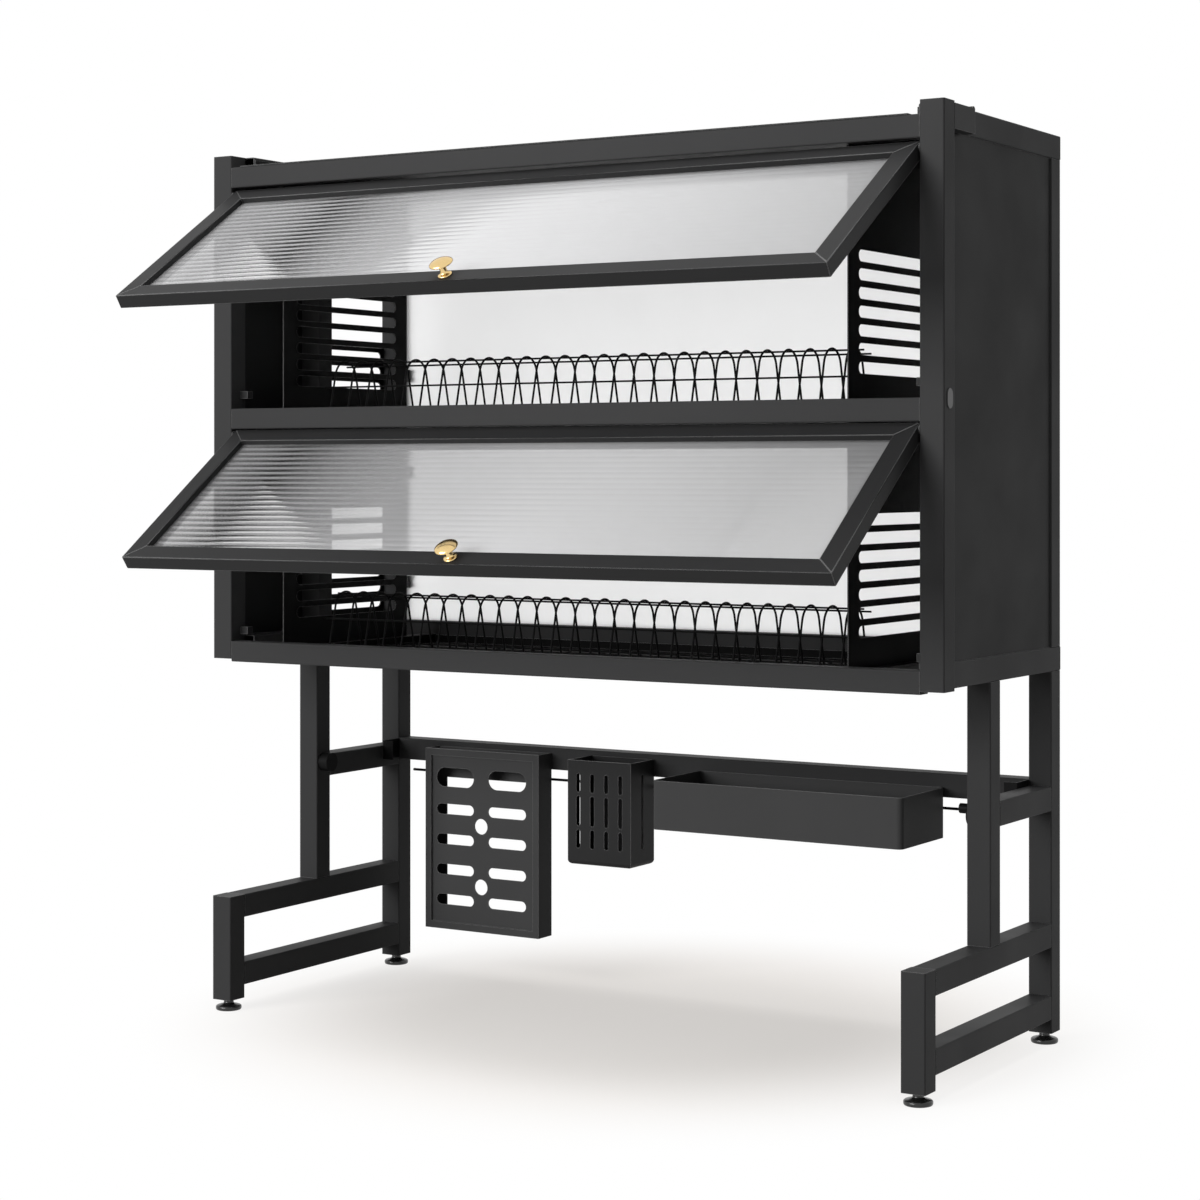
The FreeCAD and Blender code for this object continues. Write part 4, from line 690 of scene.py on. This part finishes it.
def wire_row_graph() -> GeometryGraph:
    """A tree that sweeps a wire along a path and repeats it along X.

    Returns:
        The tree.
    """
    graph = GeometryGraph("wire_row", {
        "Wire radius": "NodeSocketFloat",
        "Sides": "NodeSocketInt",
        "Count": "NodeSocketInt",
        "Pitch": "NodeSocketFloat",
        "Material": "NodeSocketMaterial",
    })
    line = graph.add("GeometryNodeMeshToCurve", Mesh=graph.given("Geometry"))
    sides, radius = (graph.given(label) for label in ("Sides", "Wire radius"))
    ring = graph.add("GeometryNodeCurvePrimitiveCircle", Resolution=sides, Radius=radius)
    wire = graph.add(
        "GeometryNodeCurveToMesh", Curve=line.outputs[0], Profile_Curve=ring.outputs[0], Fill_Caps=True,
    )
    step = graph.add("ShaderNodeCombineXYZ", X=graph.given("Pitch"))
    spots = graph.add("GeometryNodeMeshLine", Count=graph.given("Count"), Offset=step.outputs[0])
    row = graph.add("GeometryNodeInstanceOnPoints", Points=spots.outputs[0], Instance=wire.outputs[0])
    graph.end(row.outputs[0])
    return graph


def ribbed_sheet_graph() -> GeometryGraph:
    """A tree that makes an upright sheet with bowed ribs across its front.

    Returns:
        The tree.
    """
    graph = GeometryGraph("ribbed_sheet", {
        "Width": "NodeSocketFloat",
        "Thickness": "NodeSocketFloat",
        "Height": "NodeSocketFloat",
        "Rib pitch": "NodeSocketFloat",
        "Rib height": "NodeSocketFloat",
        "Rows": "NodeSocketInt",
        "Material": "NodeSocketMaterial",
    })
    width, thickness, height = (graph.given(label) for label in ("Width", "Thickness", "Height"))
    size = graph.add("ShaderNodeCombineXYZ", X=width, Y=thickness, Z=height)
    sheet = graph.add("GeometryNodeMeshCube", Size=size.outputs[0], Vertices_Z=graph.given("Rows"))
    place = graph.add("GeometryNodeInputPosition")
    parts = graph.add("ShaderNodeSeparateXYZ", Vector=place.outputs[0])
    turns = graph.math("DIVIDE", parts.outputs["Z"], graph.given("Rib pitch"))
    share = graph.math("FRACT", turns)
    across = graph.math("SUBTRACT", graph.math("MULTIPLY", share, 2.0), 1.0)
    bow = graph.math("SUBTRACT", 1.0, graph.math("MULTIPLY", across, across))
    lift = graph.math("MULTIPLY", bow, graph.given("Rib height"))
    offset = graph.add("ShaderNodeCombineXYZ", Y=graph.math("MULTIPLY", lift, -1.0))
    front = graph.math("LESS_THAN", parts.outputs["Y"], 0.0)
    ribbed = graph.add(
        "GeometryNodeSetPosition", Geometry=sheet.outputs[0], Selection=front, Offset=offset.outputs[0],
    )
    skin = graph.math("MULTIPLY", thickness, -FRONT_SKIN_SHARE)
    graph.end(ribbed.outputs[0], graph.math("LESS_THAN", parts.outputs["Y"], skin))
    return graph


# Sub-assemblies


@dataclass
class Cabinet:
    """The tube frame, its sheets, its guards and its small trim."""

    finishes: Finishes
    tubes: tuple[str, ...] = (
        "front_posts", "top_front_rail", "middle_front_rail", "bottom_front_rail", "top_side_rails",
        "bottom_side_rails", "middle_side_rails", "rear_posts", "inner_uprights", "top_rear_rail",
        "middle_rear_rail", "bottom_rear_rail", "tier_bearers",
    )
    sheets: tuple[str, ...] = ("top_panel", "left_side_panel", "right_side_panel")
    inner_sheets: tuple[str, ...] = (
        "left_side_guards", "lower_left_partition", "lower_right_partition", "upper_left_partition",
        "upper_right_partition",
    )
    plastics: tuple[str, ...] = (
        "top_corner_blocks", "back_panel_clips", "hinge_bushes", "door_stops", "tube_end_caps",
    )

    def build(self) -> None:
        """Dress the nodes."""
        dress(self.tubes, self.finishes.frame_coat)
        dress(self.sheets, self.finishes.sheet_coat)
        dress(self.inner_sheets, self.finishes.shaded_inner_coat)
        dress(self.plastics, self.finishes.plastic)
        dress(("screw_covers",), self.finishes.cover)
        dress(("back_panels",), self.finishes.frosted)
        dress(("frame_screws",), self.finishes.steel)
        LOG.info("cabinet dressed")


@dataclass
class Stand:
    """The open stand with its beam, its rod and its levelling feet."""

    finishes: Finishes
    tubes: tuple[str, ...] = (
        "front_foot_posts", "front_uprights", "rear_legs", "upper_stand_rails", "lower_stand_rails",
        "middle_stand_rails", "back_beam",
    )
    foot_sides: int = 48
    foot_sharp: float = 50.0
    foot_profile: tuple[Pair, ...] = (
        (0.0, 0.0), (12.4, 0.0), (13.2, 0.25), (13.75, 0.9), (13.98, 1.9), (13.98, 3.3), (13.7, 4.2),
        (12.9, 4.9), (11.6, 5.4), (9.0, 6.0), (6.8, 6.6), (5.8, 7.2), (5.4, 8.0), (5.3, 9.0), (5.3, 11.2),
        (5.0, 11.6), (4.0, 11.6), (4.0, 31.0), (3.5, 31.5), (0.0, 31.5),
    )

    def build(self) -> None:
        """Dress the nodes and turn the feet."""
        dress(self.tubes, self.finishes.frame_coat)
        dress(("hanging_rod", "stand_brackets"), self.finishes.wire_coat)
        dress(("foot_inserts",), self.finishes.plastic)
        for foot in Foot:
            self.build_foot(foot)
        LOG.info("stand dressed")

    def build_foot(self, foot: Foot) -> None:
        """Turn one levelling foot on the axis of its node.

        Args:
            foot: Which foot.
        """
        node = f"{foot.value}_foot"
        low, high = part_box(node)
        profile = [(radius * MM, height * MM) for radius, height in self.foot_profile]
        mesh = Pieces.turned(profile, self.foot_sides, self.finishes.foot, self.foot_sharp)
        mesh.transform(Matrix.Translation(((low.x + high.x) / 2, (low.y + high.y) / 2, low.z)))
        piece = Pieces.place(f"{foot.value}_turned_foot", mesh)
        attach(piece, f"{foot.value}_levelling_foot", node)


@dataclass
class FlapDoor:
    """One flap door: its mitred bars, its ribbed sheet and its knob, all made closed and then swung open."""

    tier: Tier
    finishes: Finishes
    ribbed_sheet: GeometryGraph
    height: float
    half_width: float = 409 * MM
    bar: float = 20 * MM
    tuck: float = 5 * MM
    top_reach: float = 4.5 * MM
    panel_front: float = 2 * MM
    panel_thickness: float = 3 * MM
    bar_depth: float = 15 * MM
    bar_wall: float = 1.5 * MM
    slot_gap: float = 0.1 * MM
    edge_round: float = 0.6 * MM
    edge_steps: int = 2
    rib_pitch: float = 8.8 * MM
    rib_height: float = 0.25 * MM
    rows_per_rib: int = 10
    knob_rise: float = 10 * MM
    knob_sides: int = 64
    knob_sharp: float = 60.0
    knob_profile: tuple[Pair, ...] = (
        (0.0, 0.0), (6.7, 0.0), (7.05, 0.15), (7.25, 0.6), (7.2, 1.2), (6.8, 1.7), (6.0, 2.1), (4.9, 2.6),
        (4.1, 3.4), (3.7, 4.6), (3.55, 6.4), (3.6, 8.2), (3.8, 9.6), (4.2, 10.6), (4.9, 11.2), (6.0, 11.6),
        (8.2, 11.9), (10.4, 12.1), (11.5, 12.3), (11.9, 12.7), (12.0, 13.2), (11.8, 13.8), (11.2, 14.4),
        (9.8, 15.3), (7.6, 16.3), (5.0, 17.0), (2.5, 17.38), (0.0, 17.48),
    )
    joint: dict[str, object] = field(init=False)

    def __post_init__(self) -> None:
        """Find the door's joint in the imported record."""
        name = f"{self.tier.value}_door_hinge"
        self.joint = next(joint for joint in frame["joints"] if joint["name"] == name)

    @property
    def body(self) -> str:
        """The body that the door's pieces ride on."""
        return f"{self.tier.value}_door"

    def swing(self) -> Matrix:
        """From the closed door, drawn round its hinge axis, to the door as it stands open.

        Returns:
            The turn and the move to the hinge.
        """
        angle = -math.radians(self.joint["range_deg"][0])
        turn = Matrix.Rotation(angle, 4, Vector(self.joint["axis"]))
        return Matrix.Translation(self.joint["pos_m"]) @ turn

    def build(self) -> None:
        """Make the door's pieces and dress the rest."""
        name = self.tier.value
        self.build_frame()
        self.build_panel()
        self.build_knob()
        dress((f"{name}_door_corner_keys",), self.finishes.plastic)
        dress((f"{name}_hinge_pins",), self.finishes.steel)
        LOG.info("%s door built", name)

    def bar_outline(self, inset: float) -> list[Pair]:
        """Section of a bar: how far inwards and how far back each corner is.

        Args:
            inset: How far inside the bar's outer skin the outline runs.

        Returns:
            Eight corners, round the slot that holds the sheet.
        """
        inner = self.bar - inset
        floor = self.bar - self.tuck - self.slot_gap - inset
        slot_front = self.top_reach + self.panel_front - self.slot_gap - inset
        slot_back = self.top_reach + self.panel_front + self.panel_thickness + self.slot_gap + inset
        back = self.bar_depth - inset
        return [
            (inset, inset), (inner, inset), (inner, slot_front), (floor, slot_front),
            (floor, slot_back), (inner, slot_back), (inner, back), (inset, back),
        ]

    def add_bar(
        self, shape: bmesh.types.BMesh, start: Vector, inwards: Vector, along: Vector, half: float,
    ) -> None:
        """Add one hollow bar with mitred ends.

        Args:
            shape: The frame's mesh.
            start: Middle of the bar's outer front edge.
            inwards: Direction towards the middle of the door.
            along: Direction of the bar.
            half: Half its outer length.
        """
        back = Vector((0.0, 1.0, 0.0))
        rings = []
        for inset in (0.0, self.bar_wall):
            for sign in (-1, 1):
                spots = [
                    start + inwards * depth + back * rear + along * sign * (half - depth)
                    for depth, rear in self.bar_outline(inset)
                ]
                rings.append([shape.verts.new(spot) for spot in spots])
        count = len(rings[0])
        for near, far in ((0, 1), (2, 3), (0, 2), (1, 3)):
            for step in range(count):
                after = (step + 1) % count
                ring, other = rings[near], rings[far]
                shape.faces.new((ring[step], ring[after], other[after], other[step]))
        outer = {vert: step for ring in rings[:2] for step, vert in enumerate(ring)}
        corners = {0, 1, count - 2, count - 1}
        edges = [edge for edge in shape.edges if all(outer.get(vert) in corners for vert in edge.verts)]
        bmesh.ops.bevel(
            shape, geom=edges, offset=self.edge_round, segments=self.edge_steps, profile=0.5, affect="EDGES",
        )

    def build_frame(self) -> None:
        """Make the four mitred bars."""
        shape = bmesh.new()
        middle = self.top_reach - self.height / 2
        right = Vector((1.0, 0.0, 0.0))
        up = Vector((0.0, 0.0, 1.0))
        for sign in (-1, 1):
            side = Vector((sign * self.half_width, -self.top_reach, middle))
            self.add_bar(shape, side, -sign * right, up, self.height / 2)
            level = Vector((0.0, -self.top_reach, middle + sign * self.height / 2))
            self.add_bar(shape, level, -sign * up, right, self.half_width)
        bmesh.ops.recalc_face_normals(shape, faces=shape.faces)
        mesh = bpy.data.meshes.new("bars")
        shape.to_mesh(mesh)
        shape.free()
        mesh.materials.append(self.finishes.door_coat)
        mesh.transform(self.swing())
        piece = Pieces.place(f"{self.tier.value}_mitred_bars", mesh)
        attach(piece, self.body, f"{self.tier.value}_door_frame")

    def build_panel(self) -> None:
        """Make the ribbed sheet between the bars."""
        width = 2 * (self.half_width - self.bar + self.tuck)
        height = self.height - 2 * (self.bar - self.tuck)
        host = Pieces.place("start", bpy.data.meshes.new("start"))
        ribs = height / self.rib_pitch
        sheet = self.ribbed_sheet.run(host, {
            "Width": width,
            "Thickness": self.panel_thickness,
            "Height": height,
            "Rib pitch": self.rib_pitch,
            "Rib height": self.rib_height,
            "Rows": int(ribs * self.rows_per_rib) + 1,
            "Material": self.finishes.ribbed[self.tier],
        })
        middle = Vector((0.0, self.panel_front + self.panel_thickness / 2, self.top_reach - self.height / 2))
        sheet.transform(self.swing() @ Matrix.Translation(middle))
        piece = Pieces.place(f"{self.tier.value}_ribbed_panel", sheet)
        attach(piece, self.body, f"{self.tier.value}_door_panel")

    def build_knob(self) -> None:
        """Turn the knob and set it on the lower bar."""
        profile = [(radius * MM, height * MM) for radius, height in self.knob_profile]
        mesh = Pieces.turned(profile, self.knob_sides, self.finishes.brass, self.knob_sharp)
        foot = Vector((0.0, -self.top_reach, self.top_reach - self.height + self.knob_rise))
        outwards = Matrix.Rotation(math.radians(90), 4, "X")
        mesh.transform(self.swing() @ Matrix.Translation(foot) @ outwards)
        piece = Pieces.place(f"{self.tier.value}_turned_knob", mesh)
        attach(piece, self.body, f"{self.tier.value}_knob")


@dataclass
class PlateRack:
    """One wire rack in its drip tray: a row of arches, its ties and the base."""

    tier: Tier
    finishes: Finishes
    wire_row: GeometryGraph
    level: float
    middle: float = -13.5 * MM
    half_length: float = 322.5 * MM
    wire: float = 1.1 * MM
    tie: float = 1 * MM
    wire_sides: int = 10
    arch_count: int = 27
    arch_pitch: float = 24 * MM
    arch_radius: float = 19 * MM
    arch_steps: int = 18
    lean: float = math.radians(13.6)
    rise: float = 53.8 * MM
    middle_line: float = 32 * MM
    front_tie_drop: float = 29 * MM
    rear_tie_drop: float = 5.5 * MM
    base_front: float = -20 * MM
    base_back: float = 146 * MM
    cross_count: int = 15
    floor_drop: float = 14.5 * MM

    @property
    def crown(self) -> float:
        """Height of the arches' middle line at their crown."""
        return self.level + self.rise - self.wire

    def reach(self, height: float) -> float:
        """How far an arch's legs are from the row's middle line.

        Args:
            height: The height asked for, below the bend.

        Returns:
            The distance along Y.
        """
        shoulder = self.crown - self.arch_radius * (1 - math.sin(self.lean))
        return self.arch_radius * math.cos(self.lean) + (shoulder - height) * math.tan(self.lean)

    def arch(self, foot: float) -> list[Vector]:
        """The middle line of the first arch.

        Args:
            foot: Height of the rods that its ends stand on.

        Returns:
            The points.
        """
        start = self.middle - self.arch_pitch * (self.arch_count - 1) / 2
        row = self.middle_line
        centre = self.crown - self.arch_radius
        end = self.reach(foot) - self.wire * math.sin(self.lean)
        low = foot + self.wire * math.cos(self.lean)
        points = [Vector((start, row - end, low))]
        sweep = math.pi - 2 * self.lean
        for step in range(self.arch_steps + 1):
            angle = math.pi - self.lean - sweep * step / self.arch_steps
            across = self.arch_radius * math.cos(angle)
            points.append(Vector((start, row + across, centre + self.arch_radius * math.sin(angle))))
        points.append(Vector((start, row + end, low)))
        return points

    def tie_places(self) -> list[Pair]:
        """Line and height of the thin rods: under the crowns, outside the front legs and behind the crowns.

        Returns:
            The place of each rod along Y and along Z.
        """
        touch = self.wire + self.tie
        front_height = self.crown - self.front_tie_drop
        front = self.middle_line - self.reach(front_height) - touch / math.cos(self.lean)
        rise = self.arch_radius - self.rear_tie_drop
        rear = self.middle_line + math.sqrt((self.arch_radius + touch) ** 2 - rise ** 2)
        return [
            (self.middle_line, self.crown - touch),
            (front, front_height),
            (rear, self.crown - self.rear_tie_drop),
        ]

    def row(self, points: list[Vector], radius: float, count: int = 1, pitch: float = 0.0) -> bpy.types.Mesh:
        """Sweep a wire and repeat it.

        Args:
            points: The wire's middle line.
            radius: The wire's radius.
            count: How many wires the row has.
            pitch: From one wire to the next.

        Returns:
            The row's mesh.
        """
        return self.wire_row.run(Pieces.path(points), {
            "Wire radius": radius,
            "Sides": self.wire_sides,
            "Count": count,
            "Pitch": pitch,
            "Material": self.finishes.wire_coat,
        })

    def rod(self, line: float, height: float, radius: float) -> bpy.types.Mesh:
        """A rod along the whole rack.

        Args:
            line: Its place along Y.
            height: Its place along Z.
            radius: Its radius.

        Returns:
            The rod's mesh.
        """
        ends = [Vector((self.middle + side * self.half_length, line, height)) for side in (-1, 1)]
        return self.row(ends, radius)

    def build(self) -> None:
        """Make the rack and dress its tray."""
        cross_level = self.level - self.floor_drop + self.wire
        rod_level = cross_level + 2 * self.wire
        spread = self.reach(rod_level)
        foot_line = self.middle_line + spread
        between = (foot_line + self.base_back) / 2
        lines = (self.base_front, self.middle_line - spread, foot_line, between, self.base_back)
        meshes = [self.row(self.arch(rod_level), self.wire, self.arch_count, self.arch_pitch)]
        meshes += [self.rod(line, rod_level, self.wire) for line in lines]
        meshes += [self.rod(line, height, self.tie) for line, height in self.tie_places()]
        first = self.middle - self.half_length + self.wire
        pitch = 2 * (self.half_length - self.wire) / (self.cross_count - 1)
        reach = (self.base_front - self.wire, self.base_back + self.wire)
        ends = [Vector((first, line, cross_level)) for line in reach]
        meshes.append(self.row(ends, self.wire, self.cross_count, pitch))
        name = self.tier.value
        piece = Pieces.joined(f"{name}_wire_rack", meshes)
        attach(piece, f"{name}_rack", f"{name}_plate_rack")
        dress((f"{name}_drip_tray",), self.finishes.shaded_inner_coat)
        LOG.info("%s rack built", name)


@dataclass
class HungHolders:
    """The board rack, the cutlery cage and the long tray on the hanging rod."""

    finishes: Finishes

    def build(self) -> None:
        """Dress the nodes."""
        dress(("board_rack", "sundries_tray"), self.finishes.holder_coat)
        dress(("utensil_cage",), self.finishes.door_coat)
        LOG.info("holders dressed")


def dress(nodes: tuple[str, ...], material: bpy.types.Material) -> None:
    """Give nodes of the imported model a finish.

    Args:
        nodes: Names of the nodes.
        material: The finish.
    """
    for node in nodes:
        mesh = frame["nodes"][node].data
        mesh.materials.clear()
        mesh.materials.append(material)


def attach(piece: bpy.types.Object, body: str, node: str) -> None:
    """Let a piece ride on a body in place of a node.

    Args:
        piece: The finished piece.
        body: The body it moves with.
        node: The node it stands for.
    """
    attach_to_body(piece, body)
    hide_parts(node)


# Floor, light and camera


@dataclass(frozen=True)
class SoftLamp:
    """A soft rectangular lamp."""

    name: str
    place: Place
    size: Pair
    power: float
    mirrored: bool = True

    def hang(self, target: Vector) -> None:
        """Hang the lamp and point it at the object.

        Args:
            target: What it points at.
        """
        lamp = bpy.data.lights.new(self.name, "AREA")
        lamp.shape = "RECTANGLE"
        lamp.size, lamp.size_y = self.size
        lamp.energy = self.power
        holder = bpy.data.objects.new(self.name, lamp)
        holder.location = self.place
        holder.rotation_euler = (target - Vector(self.place)).to_track_quat("-Z", "Y").to_euler()
        holder.visible_camera = False
        holder.visible_glossy = self.mirrored
        bpy.context.scene.collection.objects.link(holder)


@dataclass
class Studio:
    """The pale floor, the soft lights, the world and the camera."""

    finishes: Finishes
    floor_reach: float = 14.0
    target: Vector = field(default_factory=lambda: Vector((0.0, 0.0, 0.5)))
    eye: Vector = field(default_factory=lambda: Vector((1.4191, -2.2742, 0.5872)))
    yaw: float = 0.55
    focal_pixels: float = 2595.5
    frame_pixels: float = 1200.0
    horizon_row: float = 472.35
    air_level: float = 0.19
    sensor: float = 36.0
    lamps: tuple[SoftLamp, ...] = (
        SoftLamp("key_light", (-1.5, -3.9, 1.6), (2.6, 2.2), 168.0),
        SoftLamp("top_light", (0.1, -0.2, 3.4), (2.4, 2.0), 75.0, mirrored=False),
    )

    def build(self) -> None:
        """Make everything that isn't the object."""
        self.build_floor()
        self.build_world()
        for lamp in self.lamps:
            lamp.hang(self.target)
        self.build_camera()
        bpy.context.scene.view_settings.view_transform = "Standard"
        LOG.info("studio built")

    def build_floor(self) -> None:
        """Lay the floor."""
        shape = bmesh.new()
        bmesh.ops.create_grid(shape, x_segments=1, y_segments=1, size=self.floor_reach)
        mesh = bpy.data.meshes.new("floor")
        shape.to_mesh(mesh)
        shape.free()
        mesh.materials.append(self.finishes.floor)
        Pieces.place("floor", mesh)

    def build_world(self) -> None:
        """Light from all round, with the page's white behind."""
        world = bpy.data.worlds.new("studio_air")
        graph = ShaderGraph(world)
        page = graph.add("ShaderNodeBackground", Color=(*WHITE, 1.0), Strength=1.0)
        air = graph.add("ShaderNodeBackground", Color=(*WHITE, 1.0), Strength=self.air_level)
        choice = graph.mix_shaders(graph.any_ray(*BACKDROP_RAYS), air, page)
        graph.end(choice.outputs[0], "ShaderNodeOutputWorld")
        bpy.context.scene.world = world

    def build_camera(self) -> None:
        """Set the level camera that frames the object as the photograph does."""
        camera = bpy.data.cameras.new("camera")
        camera.sensor_width = self.sensor
        camera.lens = self.focal_pixels / self.frame_pixels * self.sensor
        camera.shift_y = (self.horizon_row - self.frame_pixels / 2) / self.frame_pixels
        holder = bpy.data.objects.new("camera", camera)
        holder.location = self.eye
        holder.rotation_euler = (math.pi / 2, 0.0, self.yaw)
        bpy.context.scene.collection.objects.link(holder)
        bpy.context.scene.camera = holder


def main() -> None:
    """Build the rack and its studio in order."""
    logging.basicConfig(level=logging.INFO, format="%(name)s: %(message)s")
    finishes = Finishes()
    Studio(finishes).build()
    Cabinet(finishes).build()
    Stand(finishes).build()
    ribbed_sheet = ribbed_sheet_graph()
    wire_row = wire_row_graph()
    for tier in Tier:
        FlapDoor(tier, finishes, ribbed_sheet, DOOR_HEIGHT[tier]).build()
    for tier in Tier:
        PlateRack(tier, finishes, wire_row, TIER_LEVEL[tier]).build()
    HungHolders(finishes).build()


if __name__ == "__main__":
    main()
